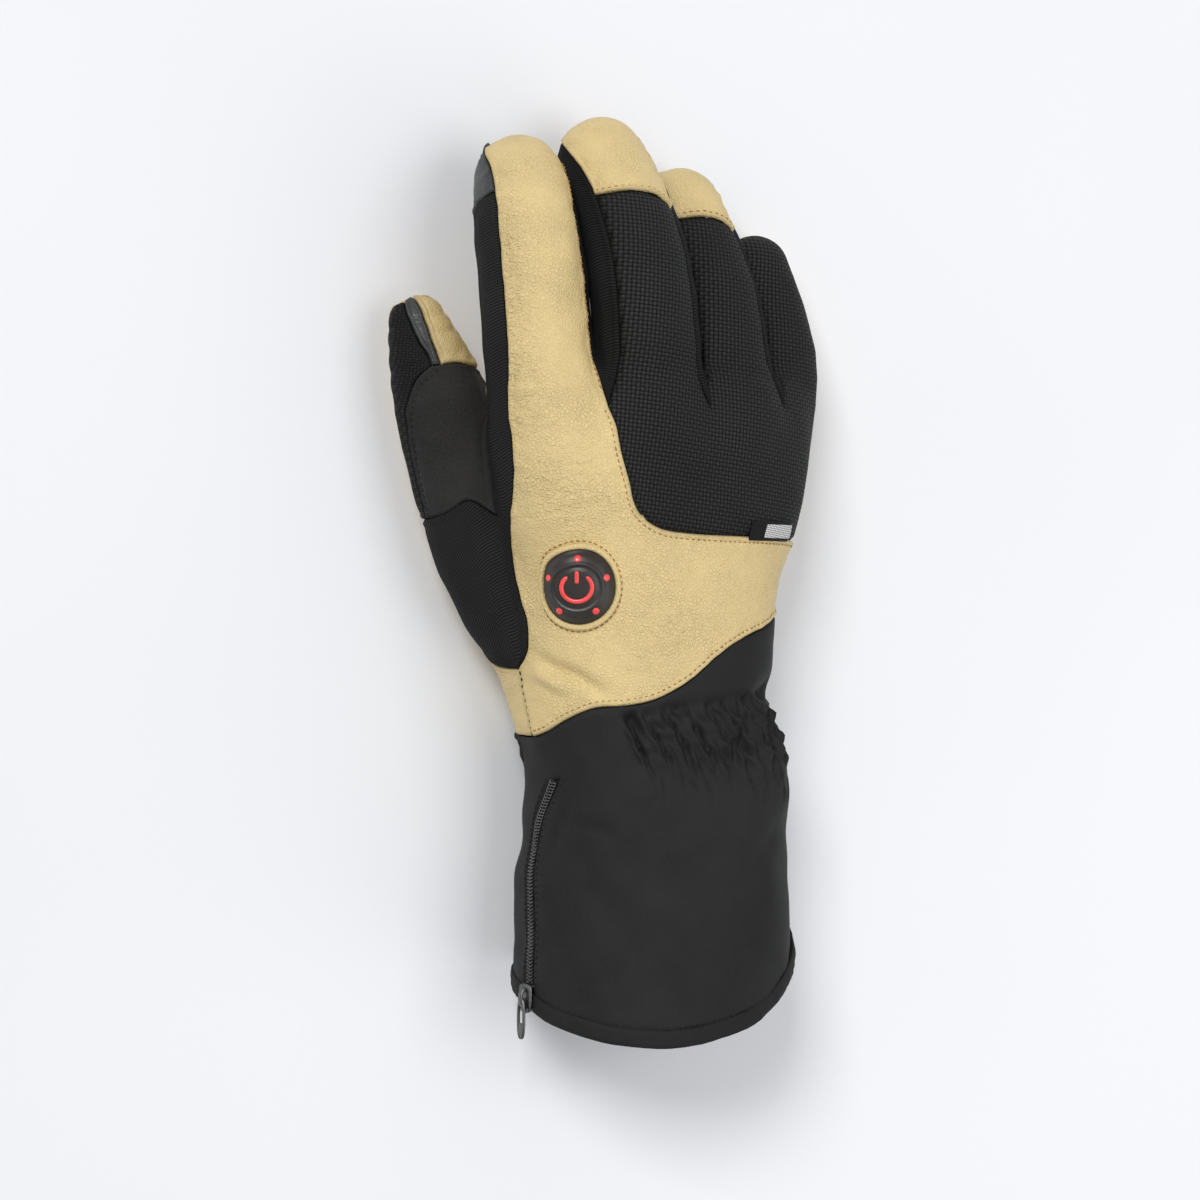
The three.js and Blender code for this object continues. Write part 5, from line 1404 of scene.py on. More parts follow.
class GloveSizes(bpy.types.PropertyGroup):
    """Sizes of the stitches and the gathers that a user would change"""
    stitch_pitch: bpy.props.FloatProperty(
        name="Stitch pitch", description="Distance between stitches", unit="LENGTH",
        default=0.0021, min=0.001)
    stitch_length: bpy.props.FloatProperty(
        name="Stitch length", description="Visible length of a stitch", unit="LENGTH",
        default=0.0014, min=0.0005)
    thread: bpy.props.FloatProperty(
        name="Thread", description="Radius of the thread", unit="LENGTH",
        default=0.00021, min=0.0001)
    gather: bpy.props.FloatProperty(
        name="Gather depth", description="Depth of the folds at the wrist", unit="LENGTH",
        default=0.0066, min=0)


# Angles between which the wrist gathers lie, how many there are, and their depth as a share
GATHERS = [[-27, 66, 11, 1.0], [66, 180, 9, 0.55], [180, 262, 7, 0.45]]
# The zip's angle at the hem, half the slot's width in degrees, and its top as a share of the cuff
ZIP_HOME = -80
ZIP_HALF = 3.58
ZIP_TOP = 0.19
# Degrees round the cuff over which its columns bend with the zip
ZIP_REACH = 70
# Width of the hem's band in millimetres
BINDING_DEPTH = 5.0
# The coil: pitch, wire radius, each row's middle, half width, half height and level, in millimetres
COIL_PITCH = 1.15
COIL_WIRE = 0.2
COIL_MIDDLE = 0.75
COIL_WIDE = 0.72
COIL_HIGH = 0.42
COIL_LEVEL = -0.3


def follow_zip(column, share):
    """Columns near the zip bend with it: the zip's angle there, faded out over ZIP_REACH degrees."""
    near = smooth(1 - np.abs(((column - ZIP_HOME + 540) % 360) - 180) / ZIP_REACH, 0, 1)
    return column + (row_where(ZIP_ROWS, np.clip(share, ZIP_ROWS[0][0], 1))[..., 1] - ZIP_HOME) * near


def edge_at(angle, column):
    """A column of CUFF_EDGES at an angle round the wrist."""
    wrapped = (np.asarray(angle, float) + 180) % 360 - 180
    return row_where(CUFF_EDGES, wrapped)[..., column]


def on_cuff(column, step, trim=0.0):
    """Point of the cuff: column is its angle at the hem, step is 0 at the leather and 1 at the hem."""
    column, step = np.broadcast_arrays(np.asarray(column, float), np.asarray(step, float))
    top = edge_at(follow_zip(column, 0 * column), 1) * HAND_LENGTH
    hem = edge_at(follow_zip(column, 0 * column + 1), 2) * CUFF_LENGTH + trim
    y = top + (hem - top) * step
    return on_hand(y / HAND_LENGTH, follow_zip(column, -y / CUFF_LENGTH))


def cuff_relief(points, rim, depth):
    """Gathers as 1 - |sin|^0.9, which gives round pleats with sharp valleys, bent and uneven by slower
    sines and puckered across, between the elastic's edges; then slow waves and long creases."""
    share, angle = np.moveaxis(HAND.read(points)[..., :2], -1, 0)
    angle = np.where(angle < ZIP_HOME, angle + 360, angle)
    y = share * HAND_LENGTH
    drop = edge_at(angle, 1) * HAND_LENGTH - y
    top = 0.5 + 0.085 * np.clip(angle + 20, 0, 86)
    height = np.zeros(len(points))
    for low, high, count, strength in GATHERS:
        t = (angle - low) / (high - low)
        inside = smooth(t, 0.0, 0.07) * (1 - smooth(t, 0.93, 1.0))
        turn = (count * t + 0.3 * np.sin(7.3 * t * count / 9) + 0.24 * np.sin(y / 3.9 + 5 * t * count)
                + 0.1 * np.sin(y / 1.9 + 3 * t * count))
        number = np.floor(turn)
        uneven = 0.72 + 0.28 * np.sin(2.4 * number + 1)
        foot = -17 - 7 * np.sin(1.9 * number) ** 2
        held = smooth(top + 1.5 - y, 0, 5) * (1 - 0.75 * smooth(-11 - y, 0, 8)) * smooth(y, foot - 9, foot)
        valley = 1 - np.abs(np.sin(np.pi * turn)) ** 0.9
        pucker = (1 - valley) * np.sin(y / 1.2 + 2.7 * number)
        swell = smooth(top + 1 - y, 0, 4) * smooth(y, -22, -10)
        height += depth * strength * inside * (held * (0.16 * pucker - uneven * valley)
                                               + 0.25 * swell - 0.35 * bump(y, top - 1, 3.2))
    height += 0.5 * waves(points, 38, 21) * smooth(drop, 6, 30) + 0.2 * waves(points, 14, 22)
    for path, width, amount in (
        ([on_cuff(-60, 0.12), on_cuff(-62, 0.3), on_cuff(-66, 0.48)], 2.2, 0.9),
        ([on_cuff(-70, 0.3), on_cuff(-50, 0.36), on_cuff(-30, 0.38)], 2.6, 0.6),
        ([on_cuff(-30, 0.52), on_cuff(0, 0.47), on_cuff(30, 0.5)], 5.0, 0.6),
        ([on_cuff(20, 0.62), on_cuff(45, 0.55), on_cuff(70, 0.6)], 4.0, 0.7),
    ):
        height += crease(points, path, width, amount)
    return height - 0.8 * (1 - smooth(rim, 0, 1.4))


# Height of a stitch's middle over its piece, and how far its ends sink, in millimetres
STITCH_LIFT = 0.1
STITCH_BOW = 0.22
# Rings of a stitch and points of each ring
STITCH_RINGS = 5
STITCH_SIDES = 6


def stitches(name, line, on, pitch=None, look="thread"):
    """Stitches as short bent capsules along a line: a bow of six-sided rings, sunk at both ends."""
    sizes = bpy.context.scene.glove_sizes
    pitch = sizes.stitch_pitch / MM if pitch is None else pitch
    long, radius = sizes.stitch_length / MM, sizes.thread / MM
    total = np.linalg.norm(np.diff(line, axis=0), axis=1).sum()
    count = max(2, int(total / pitch))
    nodes = even(line, 2 * count)
    along = unit(np.gradient(nodes, axis=0))[1::2]
    centre = press(nodes[1::2])
    up = normals_at(centre)
    side = unit(np.cross(up, along))
    base = height_of(on, centre) + STITCH_LIFT
    t = np.linspace(-1, 1, STITCH_RINGS)
    turn = np.linspace(0, 2 * np.pi, STITCH_SIDES, endpoint=False)
    round_off = radius * (1 - 0.55 * t**4)
    forward = (t * long / 2)[None, :, None, None] * along[:, None, None]
    rise = (base[:, None] - STITCH_BOW * t[None] ** 2)[..., None, None] * up[:, None, None]
    ring = round_off[None, :, None, None] * (np.cos(turn)[None, None, :, None] * side[:, None, None]
                                             + np.sin(turn)[None, None, :, None] * up[:, None, None])
    points = (centre[:, None, None] + forward + rise + ring).reshape(-1, 3)
    points[:, 2] = np.maximum(points[:, 2], FLOOR_CLEAR)
    index = np.arange(STITCH_RINGS * STITCH_SIDES).reshape(STITCH_RINGS, STITCH_SIDES)
    around = np.roll(index, -1, axis=1)
    body = np.stack([index[:-1], around[:-1], around[1:], index[1:]], -1).reshape(-1, 4)
    half = np.array([[0, 1, 2, 3], [0, 3, 4, 5]])
    one = np.concatenate([body, half[:, ::-1], half + index[-1, 0]])
    faces = (one[None] + index.size * np.arange(len(centre))[:, None, None]).reshape(-1, 4)
    if np.linalg.det(np.stack([along[0], side[0], up[0]])) < 0:
        faces = faces[:, ::-1]
    return place(mesh_object(name, to_frame(points), faces), look_of(look), "tan_leather")


class GLOVE_OT_leather(bpy.types.Operator):
    """Tan leather: the back, the palm, the caps and the thumb's leather"""
    bl_idname = "glove.leather"
    bl_label = "Tan leather"

    def execute(self, context):
        strip = pattern()[1]["strips"]["index"]["back_left"]

        def back(points, rim):
            height = leather_relief(points, rim, 1)
            side = distance_to(points, strip[:-1], strip[1:])
            y = points[:, 1]
            ruck = np.sin(2 * np.pi * (y + 2.5 * np.sin(y / 9)) / 8.5)
            height += 0.3 * np.exp(-(side / 6.5) ** 2) * smooth(side, 0.5, 3) * ruck * smooth(y, 70, 90)
            worn = worn_back(points, rim)
            height -= worn * (0.5 * rucks(points, 4.4, 41) + 0.24 * rucks(points, 2.8, 42))
            height -= 0.04 * smooth(rim, 1, 4) * rucks(points, 3.4, 43)
            for path, width, depth in (
                (hand_points((0.108, -73), (0.079, -55), (0.064, -43), (0.04, -32), (0.024, -24)), 2.5, 2.2),
                (hand_points((0.085, -73), (0.055, -56), (0.035, -44)), 2.4, -1.3),
                (hand_points((0.062, -70), (0.04, -55), (0.022, -44)), 1.8, 0.6),
                (hand_points((0.1, -40), (0.07, -20), (0.075, -2)), 3.0, 0.5),
                (hand_points((0.28, -10), (0.262, 5), (0.26, 30)), 3.5, 0.45),
                (hand_points((0.14, -30), (0.105, -22), (0.08, -10)), 2.5, 0.5),
                (hand_points((0.24, 20), (0.2, 32), (0.185, 55)), 3.0, 0.5),
                (on_rows("index", (3.2, -40), (3.15, 0), (3.25, 40)), 2.2, 0.4),
                (on_rows("index", (1.6, -50), (1.5, 0), (1.55, 40)), 2.6, 0.4),
            ):
                height += crease(points, path, width, depth)
            return height

        def palm(points, rim):
            return leather_relief(points, rim, 31, ripple=0.5) - 0.55 * (1 - smooth(rim, 2, 7))

        piece = sewn_piece("back_leather", look_of("tan"), "tan_leather", back, factor=5)
        points = SHAPES["back_leather"][0]
        add_attribute(piece, "worn", worn_back(points, np.full(len(points), 9.0)))
        sewn_piece("palm_leather", look_of("tan"), "tan_leather", palm, factor=4)
        for seed, name in enumerate(("middle_cap", "ring_cap", "thumb_tip_leather"), 60):
            # the thumb's tip takes the darker copy of the tan leather, painted shade
            look = "tan" if "cap" in name else "tan_shaded"
            sewn_piece(name, look_of(look), "tan_leather",
                       lambda p, rim, seed=seed: leather_relief(p, rim, seed, ripple=0.15) + 0.35, factor=6)
        sewn_piece("thumb_palm", look_of("tan"), "tan_leather", palm, factor=4)
        return {"FINISHED"}


class GLOVE_OT_back(bpy.types.Operator):
    """The padded woven back over three fingers"""
    bl_idname = "glove.back"
    bl_label = "Woven back"

    def execute(self, context):
        def relief(points, rim):
            height = cloth_relief(points, rim)
            for path, width, depth in (
                (on_rows("middle", (1.7, -50), (1.6, 0), (1.7, 50)), 3.0, 0.5),
                (on_rows("ring", (1.8, -50), (1.7, 0), (1.8, 50)), 3.0, 0.5),
                (on_rows("little", (2.3, -50), (2.2, 0), (2.3, 50)), 2.8, 0.5),
                (hand_points((0.40, -15), (0.385, 10), (0.40, 40)), 6.0, 0.7),
            ):
                height += crease(points, path, width, depth)
            return height

        sewn_piece("back_fabric", look_of("woven"), "woven_cloth", relief, factor=4, thickness=1.8)
        return {"FINISHED"}


class GLOVE_OT_knit(bpy.types.Operator):
    """Ribbed knit between the fingers, beside the index finger and outside the thumb"""
    bl_idname = "glove.knit"
    bl_label = "Rib knit"

    def execute(self, context):
        for first, second in zip(FINGERS, FINGERS[1:]):
            sewn_piece(f"fourchette_{first}_{second}", look_of("rib"), "rib_knit",
                       lambda points, rim: knit_relief(points, rim, swell=1.35), factor=5)
        sewn_piece("index_gusset", look_of("rib_index"), "rib_knit",
                   lambda points, rim: knit_relief(points, rim, swell=0.6), factor=5)
        sewn_piece("thumb_knit", look_of("mesh"), "rib_knit",
                   lambda points, rim: knit_relief(points, rim, swell=0.5), factor=5)
        return {"FINISHED"}


class GLOVE_OT_suede(bpy.types.Operator):
    """Suede panel on the thumb, for wiping"""
    bl_idname = "glove.suede"
    bl_label = "Suede panel"

    def execute(self, context):
        sewn_piece("thumb_suede", look_of("suede"), "suede",
                   lambda points, rim: leather_relief(points, rim, 70, ripple=0.3), factor=6)
        return {"FINISHED"}


class GLOVE_OT_touch(bpy.types.Operator):
    """Glossy leather on the index fingertip and the thumb's touch band"""
    bl_idname = "glove.touch"
    bl_label = "Touch leather"

    def execute(self, context):
        for name in ("index_touch_tip", "thumb_touch_band"):
            sewn_piece(name, look_of("glossy"), "glossy_leather",
                       lambda points, rim: leather_relief(points, rim, 80, ripple=0.12), factor=5)
        return {"FINISHED"}


class GLOVE_OT_cuff(bpy.types.Operator):
    """The long softshell cuff with its gathers at the wrist"""
    bl_idname = "glove.cuff"
    bl_label = "Cuff"

    def execute(self, context):
        depth = context.scene.glove_sizes.gather / MM
        steps = np.concatenate([np.linspace(0, ZIP_TOP, 7), np.linspace(ZIP_TOP, 1, 24)[1:]])
        columns = np.linspace(ZIP_HOME + ZIP_HALF, ZIP_HOME + 360 - ZIP_HALF, 111)
        above = np.linspace(ZIP_HOME + 360 - ZIP_HALF, ZIP_HOME + 360 + ZIP_HALF, 4)
        main = on_cuff(columns[None], steps[:, None], BINDING_DEPTH)
        bridge = on_cuff(above[None], steps[:7, None], BINDING_DEPTH)
        bridge[:, 0], bridge[:, -1] = main[:7, -1], main[:7, 0]
        sewn_piece("cuff", look_of("shell"), "softshell", lambda p, rim: cuff_relief(p, rim, depth),
                   factor=3, thickness=1.8, grids=[main, bridge])
        return {"FINISHED"}


def zip_slot(count=24):
    """Left edge, middle line and right edge of the zip's slot, from its top to the hem."""
    steps = np.linspace(ZIP_TOP, 1, count + 1)
    return [on_cuff(ZIP_HOME + side * ZIP_HALF, steps, BINDING_DEPTH) for side in (-1, 0, 1)]


def frame_at(point, along):
    """Directions across, along and up at a point of the surface."""
    up = normals_at(point[None])[0]
    along = unit(along - up * (along @ up))
    return np.cross(along, up), along, up


class GLOVE_OT_zip(bpy.types.Operator):
    """The zip: tape, two rows of coil, slider and pull"""
    bl_idname = "glove.zip"
    bl_label = "Zip"

    def execute(self, context):
        left, middle, right = zip_slot()
        t = np.linspace(0, 1, 9)[None, :, None]
        tape = press(left[:, None] * (1 - t) + right[:, None] * t)
        sewn_piece("zip_tape", look_of("tape"), "zip_cloth",
                   lambda p, rim: -0.85 + 0.2 * bump(rim, 1.6, 0.3) + 0.05 * waves(p, 6, 90),
                   factor=3, thickness=0.6, grids=[tape])
        line = press(even(middle, 800))
        line = line[:int(0.95 * len(line))]
        up = normals_at(line)
        side = unit(np.cross(up, np.gradient(line, axis=0)))
        length = np.concatenate([[0], np.cumsum(np.linalg.norm(np.diff(line, axis=0), axis=1))])
        dense = np.linspace(0, length[-1], int(length[-1] / COIL_PITCH * 14))
        coils = []
        for hand in (-1, 1):
            turn = 2 * np.pi * dense / COIL_PITCH + (0 if hand > 0 else np.pi)
            base, rise, out = (np.stack([np.interp(dense, length, v[:, k]) for k in range(3)], -1)
                               for v in (line, up, side))
            path = (base + hand * out * (COIL_MIDDLE + COIL_WIDE * np.cos(turn))[:, None]
                    + rise * (COIL_LEVEL + COIL_HIGH * np.sin(turn))[:, None])
            ends = np.ones(len(path))
            ends[[0, -1]] = 0
            coils.append(sweep(path, rise, circle(5, COIL_WIRE, COIL_WIRE), ends))
        place(solid_object("zip_coil_rows", coils), look_of("teeth"), "zip_teeth", ("zip_coil",))

        foot = line[-1]
        across_way, along, upward = frame_at(foot, line[-1] - line[-12])

        def at(x, y, z):
            return foot + np.stack(np.broadcast_arrays(x, y, z), -1) @ np.stack([across_way, along, upward])

        def plate(width, start, end, low, high, power=5.0, waist=0.0):
            """Rounded plate: superellipse sections along its length that close at both ends."""
            s = np.linspace(-1, 1, 17)
            close = (1 - np.abs(s) ** 6) ** (1 / 6)
            wide = close * (1 - waist * (s > 0) * s**2)
            ring = rounded(24, 1, 1, power)
            x = ring[None, :, 0] * wide[:, None] * width / 2
            z = (low + high) / 2 + ring[None, :, 1] * close[:, None] * (high - low) / 2
            return at(x, ((start + end) / 2 + s * (end - start) / 2)[:, None], z)

        bridge_turn = np.linspace(0, np.pi, 15)
        bridge = at(0.0, 5.0 - 3.2 * np.cos(bridge_turn), 1.5 + 1.7 * np.sin(bridge_turn))
        slider = [plate(7.6, 0, 10, 0.55, 1.6, waist=0.3), plate(7.0, 0.4, 9.6, -1.0, -0.35, waist=0.3),
                  plate(2.2, 0.6, 4.2, -0.6, 0.9),
                  sweep(bridge, np.tile(across_way, (15, 1)), rounded(10, 0.5, 1.0))]
        place(solid_object("zip_slider_body", slider), look_of("metal"), "zip_metal", ("zip_slider",))
        turn = np.linspace(0, 2 * np.pi, 65)[:-1]
        loop = at(1.75 * signed_power(np.cos(turn), 0.7),
                  11.5 + 6.4 * signed_power(np.sin(turn), 0.85), 2.75)
        loop = np.concatenate([loop, loop[:2]])
        ring = sweep(loop, np.tile(upward, (len(loop), 1)), rounded(10, 0.55, 0.5, 3.0))[1:-1]
        ring = np.concatenate([ring, ring[:1]])
        tongue = plate(3.0, 13.0, 17.6, 2.3, 3.2)
        place(solid_object("zip_pull_loop", [ring, tongue]), look_of("metal"), "zip_metal", ("zip_pull",))
        return {"FINISHED"}


class GLOVE_OT_binding(bpy.types.Operator):
    """The band that closes the hem"""
    bl_idname = "glove.binding"
    bl_label = "Hem band"

    def execute(self, context):
        columns = np.linspace(ZIP_HOME + ZIP_HALF, ZIP_HOME + 360 - ZIP_HALF, 111)
        trims = np.linspace(BINDING_DEPTH + 1.2, 0.0, 6)
        grid = np.stack([on_cuff(columns, 1.0, trim) for trim in trims])

        def relief(points, rim):
            roll = 0.8 * np.sqrt(clamp01(1 - (1 - rim / 2.2).clip(0) ** 2)) - 0.25
            return roll + 0.12 * waves(points, 9, 95) + 0.1 * waves(points, 3.5, 96)

        sewn_piece("hem_binding", look_of("binding"), "hem_band", relief,
                   factor=4, thickness=2.6, grids=[grid])
        return {"FINISHED"}


BUTTON_RADIUS = 12.7


def button_frame():
    """The button's middle on the glove and its directions right, ahead and up."""
    middle = on_hand(0.212, -44.6)
    up = normals_at(middle[None])[0]
    right = unit(np.cross(np.array([0, 1.0, 0]), up))
    return middle, right, np.cross(up, right), up


def on_button(radius, angle, height):
    """Point over the glove at a radius and angle round the button, raised by a height."""
    middle, right, ahead, _ = button_frame()
    radius, angle, height = np.broadcast_arrays(radius, np.radians(angle), height)
    flat = middle + radius[..., None] * (np.cos(angle)[..., None] * right + np.sin(angle)[..., None] * ahead)
    flat = press(flat)
    return flat + normals_at(flat) * height[..., None]


def dome_height(share):
    """The button's top: a crown, a raised ring at 0.62 of the radius and a rolled edge."""
    crown = 3.6 * (1 - np.clip(share, 0, 1) ** 4) + 0.5
    return (crown + 0.35 * bump(share, 0.62, 0.045)
            - 0.25 * bump(share, 0.53, 0.06) - 0.2 * bump(share, 0.9, 0.05))


class GLOVE_OT_button(bpy.types.Operator):
    """The button: stitched leather collar, rubber dome, five red marks and a plain on and off symbol"""
    bl_idname = "glove.button"
    bl_label = "Button"

    def execute(self, context):
        angle = np.linspace(0, 360, 97)[:-1]
        turn = np.linspace(0, 2 * np.pi, 24, endpoint=False)
        middle = BUTTON_RADIUS + 0.75
        ring = on_button((middle + signed_power(np.cos(turn), 0.8))[None],
                         np.append(angle, 360.0)[:, None], (0.45 + 1.15 * np.sin(turn))[None])
        collar = solid_object("button_collar_ring", [ring])
        add_attribute(collar, "rim", np.full(len(collar.data.vertices), 0.01))
        place(collar, look_of("tan"), "tan_leather", ("button_collar",))
        share = np.concatenate([[0.0], np.linspace(0.04, 0.97, 40), [0.99, 1.0, 1.0]])
        height = dome_height(share)
        height[-3:] = [height[-4] - 0.25, height[-4] - 0.8, -0.4]
        rings = on_button((share * BUTTON_RADIUS)[:, None], angle[None], height[:, None])
        floor = on_button(np.zeros((1, 1)), angle[None], np.full((1, 1), -0.4))
        dome = solid_object("button_dome_cap", [np.concatenate([rings, floor])])
        place(dome, look_of("rubber"), "black_rubber", ("button_dome",))
        for number in range(5):
            middle = 90 + 72 * number
            s = np.linspace(0, 1, 6)[:, None]
            around = np.linspace(0, 2 * np.pi, 25)[:-1][None]
            away = 0.76 * BUTTON_RADIUS
            x = away + 1.15 * s * np.cos(around)
            y = 1.15 * s * np.sin(around)
            radius, place_at = np.hypot(x, y), middle + np.degrees(np.arctan2(y, x))
            top = dome_height(radius / BUTTON_RADIUS) + 0.42 * np.sqrt(np.clip(1 - s**3, 0, 1))
            skirt = on_button(radius[-1:], place_at[-1:], dome_height(radius[-1:] / BUTTON_RADIUS) - 0.35)
            dot = np.concatenate([on_button(radius, place_at, top), skirt])
            foot = np.repeat(skirt.mean(1, keepdims=True), skirt.shape[1], 1)
            mark = solid_object(f"mark_{number + 1}", [np.concatenate([dot, foot])])
            place(mark, look_of("red"), "red_lens", (f"button_mark_{number + 1}",))

        def rod(name, radius, angle, node):
            """A low cushion along a path on the dome."""
            path = on_button(radius, angle, dome_height(radius / BUTTON_RADIUS) + 0.1)
            ends = np.ones(len(path))
            ends[[0, -1]] = 0.0
            ends[[1, -2]] = 0.75
            up = np.repeat(button_frame()[3][None], len(path), 0)
            place(solid_object(name, [sweep(path, up, circle(10, 0.72, 0.36), ends)]), look_of("red"),
                  "red_lens", (node,))

        rod("power_ring", np.full(40, 4.5), np.linspace(125, 415, 40), "power_arc")
        rod("power_stroke", np.linspace(1.2, 5.6, 14), np.full(14, 90.0), "power_bar")
        return {"FINISHED"}


class GLOVE_OT_label(bpy.types.Operator):
    """The woven tab over the end of the back seam, with its bare pale band"""
    bl_idname = "glove.label"
    bl_label = "Side label"

    def execute(self, context):
        t = np.linspace(0, 1, 15)[None]
        turn = 30 + np.degrees(25 / PALM_HALF) * t
        slope = 0.3055 + 0 * t
        k = np.linspace(-0.5, 0.5, 7)[:, None]
        tab = on_hand(slope + k * 6.6 / HAND_LENGTH, turn + 0 * k)
        band = on_hand(slope[:, 4:] + k * 4.6 / HAND_LENGTH, turn[:, 4:] + 0 * k)
        sewn_piece("side_label", look_of("tab"), "pale_label",
                   lambda p, rim: 1.0 - 0.5 * (1 - smooth(rim, 0, 0.8)),
                   factor=4, thickness=0.9, grids=[tab])
        sewn_piece("label_band", look_of("pale"), "pale_label",
                   lambda p, rim: 1.16 - 0.2 * (1 - smooth(rim, 0, 0.3)), factor=4, thickness=0.2,
                   grids=[band], nodes=())
        return {"FINISHED"}


class GLOVE_OT_stitches(bpy.types.Operator):
    """Rows of stitches beside the seams, round the button and along the zip"""
    bl_idname = "glove.stitches"
    bl_label = "Stitches"

    def execute(self, context):
        lines = pattern()[1]
        seams, strips = lines["seams"], lines["strips"]
        index = strips["index"]
        fabric = seams["fabric"].whole(160)
        stitches("stitch_back", beside(fabric, -1.9), "back_leather")
        stitches("stitch_index_web", beside(index["back_right"][1:], 1.3), "back_leather")
        rim = lines["back_rim"].whole(160)
        stitches("stitch_wrist", beside(rim, 1.9), "back_leather")
        stitches("stitch_radial", beside(seams["wrist_side"].whole(30), 0.9), "back_leather",
                 look="black_thread")
        for name in ("middle_cap", "ring_cap"):
            stitches(f"stitch_{name}", beside(lines[name], 1.5), name)
        stitches("stitch_suede", beside(seams["suede_outer"].cut(0, 5, 60), -2.6), "thumb_suede",
                 look="black_thread")
        angle = np.linspace(0, 360, 120)
        stitches("stitch_button", on_button(np.full(120, BUTTON_RADIUS + 2.3), angle, np.zeros(120)),
                 "back_leather", pitch=2.0)
        steps = np.linspace(ZIP_TOP, 1, 60)
        for side, gap in ((1, 3.1), (-1, 2.2)):
            line = on_cuff(ZIP_HOME + side * (ZIP_HALF + gap), steps, BINDING_DEPTH)
            stitches(f"stitch_zip_{'right' if side > 0 else 'left'}", line, "cuff", look="black_thread")
        hem = on_cuff(np.linspace(ZIP_HOME + 8, ZIP_HOME + 352, 240), 1.0, BINDING_DEPTH + 1.6)
        stitches("stitch_hem", hem, "cuff", look="black_thread")
        return {"FINISHED"}


# The photograph's camera: its turn toward the thumb in degrees, its distance and its step to the left
# in metres, and the point that it looks at in the glove's millimetres
CAMERA_TURN = 22
CAMERA_AWAY = 1.1
CAMERA_STEP = 0.0168
CAMERA_AIM = np.array([4.0, 38.0, 35.0])
# Columns: name, place and size in metres, power in watts
LAMPS = (
    ("key", (-2.2, 2.0, 3.4), 1.5, 112.0),
    ("top", (0.6, 0.0, 1.9), 1.2, 12.0),
    ("fill", (0.9, -0.6, 0.7), 0.8, 2.2),
)


def set_up(obj, x, y, z, spot):
    """Links a camera or lamp and puts it at a spot, with the directions of its own axes."""
    bpy.context.scene.collection.objects.link(obj)
    axes = np.eye(4)
    axes[:3] = np.stack([x, y, z, spot], 1)
    obj.matrix_world = axes.T.tolist()


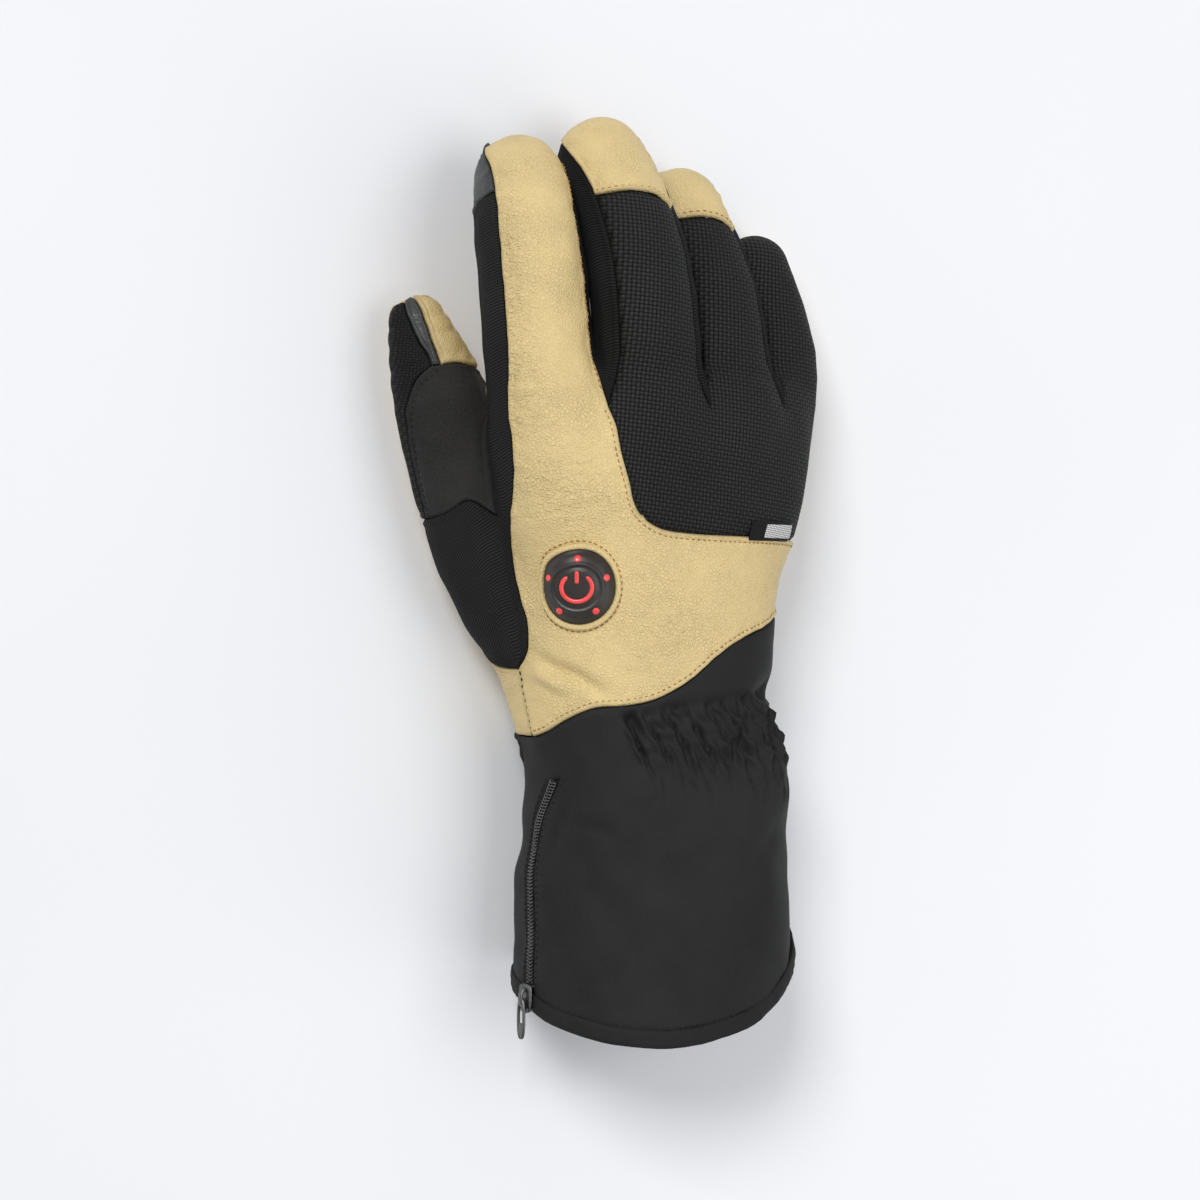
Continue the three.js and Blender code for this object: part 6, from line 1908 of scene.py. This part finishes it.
class GLOVE_OT_stage(bpy.types.Operator):
    """Pale floor, soft lights and the camera at the photograph's angle"""
    bl_idname = "glove.stage"
    bl_label = "Stage"

    def execute(self, context):
        scene = context.scene
        t = np.linspace(-3.0, 3.0, 13)
        flat = np.stack(np.meshgrid(t, t, indexing="ij") + [np.full((13, 13), -0.0002)], -1).reshape(-1, 3)
        floor = mesh_object("floor", flat, grid_faces(13, 13)[:, ::-1])
        look, g, shader, place_in = new_look("pale paper", specular_ior_level=0.1)
        paper = g.ramp(g.noise(place_in, 3.0, 2.0), 0.3, 0.7)
        link(g, shader, base_color=g.mix(paper, linear(234, 235, 238), linear(238, 239, 241)),
             roughness=g.ramp(paper, 0.0, 1.0, 0.9, 0.95))
        floor.data.materials.append(look)
        turn = math.radians(CAMERA_TURN)
        back = np.array([-math.sin(turn), 0, math.cos(turn)])
        right = np.array([math.cos(turn), 0, math.sin(turn)])
        aim = (CAMERA_AIM + ORIGIN) * MM
        camera = bpy.data.objects.new("camera", bpy.data.cameras.new("camera"))
        camera.data.lens = 98
        camera.data.sensor_width = 36
        camera.data.clip_start = 0.05
        set_up(camera, right, np.array([0, 1, 0]), back, aim + back * CAMERA_AWAY - right * CAMERA_STEP)
        scene.camera = camera
        world = bpy.data.worlds.new("studio")
        world.use_nodes = True
        world.node_tree.nodes["Background"].inputs[0].default_value = (0.95, 0.97, 1.0, 1)
        world.node_tree.nodes["Background"].inputs[1].default_value = 0.38
        scene.world = world
        for name, spot, size, power in LAMPS:
            lamp = bpy.data.lights.new(name, "AREA")
            lamp.energy, lamp.size = power, size
            away = unit(np.array(spot))
            sideways = unit(np.cross([0.0, 1.0, 0.0], away))
            set_up(bpy.data.objects.new(name, lamp), sideways, np.cross(away, sideways), away, spot)
        scene.view_settings.view_transform = "Standard"
        return {"FINISHED"}


OPERATORS = (
    GLOVE_OT_stage, GLOVE_OT_leather, GLOVE_OT_back, GLOVE_OT_knit, GLOVE_OT_suede, GLOVE_OT_touch,
    GLOVE_OT_cuff, GLOVE_OT_zip, GLOVE_OT_binding, GLOVE_OT_button, GLOVE_OT_label, GLOVE_OT_stitches,
)


class GLOVE_PT_panel(bpy.types.Panel):
    """The glove's colours, sizes and steps"""
    bl_label = "Heated glove"
    bl_idname = "GLOVE_PT_panel"
    bl_space_type = "VIEW_3D"
    bl_region_type = "UI"
    bl_category = "Glove"

    def draw(self, context):
        for group in (context.scene.glove_finish, context.scene.glove_sizes):
            for name in group.__annotations__:
                self.layout.prop(group, name)
        for operator in OPERATORS:
            self.layout.operator(operator.bl_idname)


CLASSES = (GloveFinish, GloveSizes, *OPERATORS, GLOVE_PT_panel)


def register():
    """Makes the operators, the panel and the settings known."""
    for kind in CLASSES:
        bpy.utils.register_class(kind)
    bpy.types.Scene.glove_finish = bpy.props.PointerProperty(type=GloveFinish)
    bpy.types.Scene.glove_sizes = bpy.props.PointerProperty(type=GloveSizes)


def unregister():
    """Takes them away again."""
    del bpy.types.Scene.glove_sizes
    del bpy.types.Scene.glove_finish
    for kind in reversed(CLASSES):
        bpy.utils.unregister_class(kind)


def main():
    """Makes the scene step by step."""
    register()
    bpy.ops.glove.stage()
    bpy.ops.glove.leather()
    bpy.ops.glove.back()
    bpy.ops.glove.knit()
    bpy.ops.glove.suede()
    bpy.ops.glove.touch()
    bpy.ops.glove.cuff()
    bpy.ops.glove.zip()
    bpy.ops.glove.binding()
    bpy.ops.glove.button()
    bpy.ops.glove.label()
    bpy.ops.glove.stitches()
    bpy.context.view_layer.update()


if __name__ == "__main__":
    main()
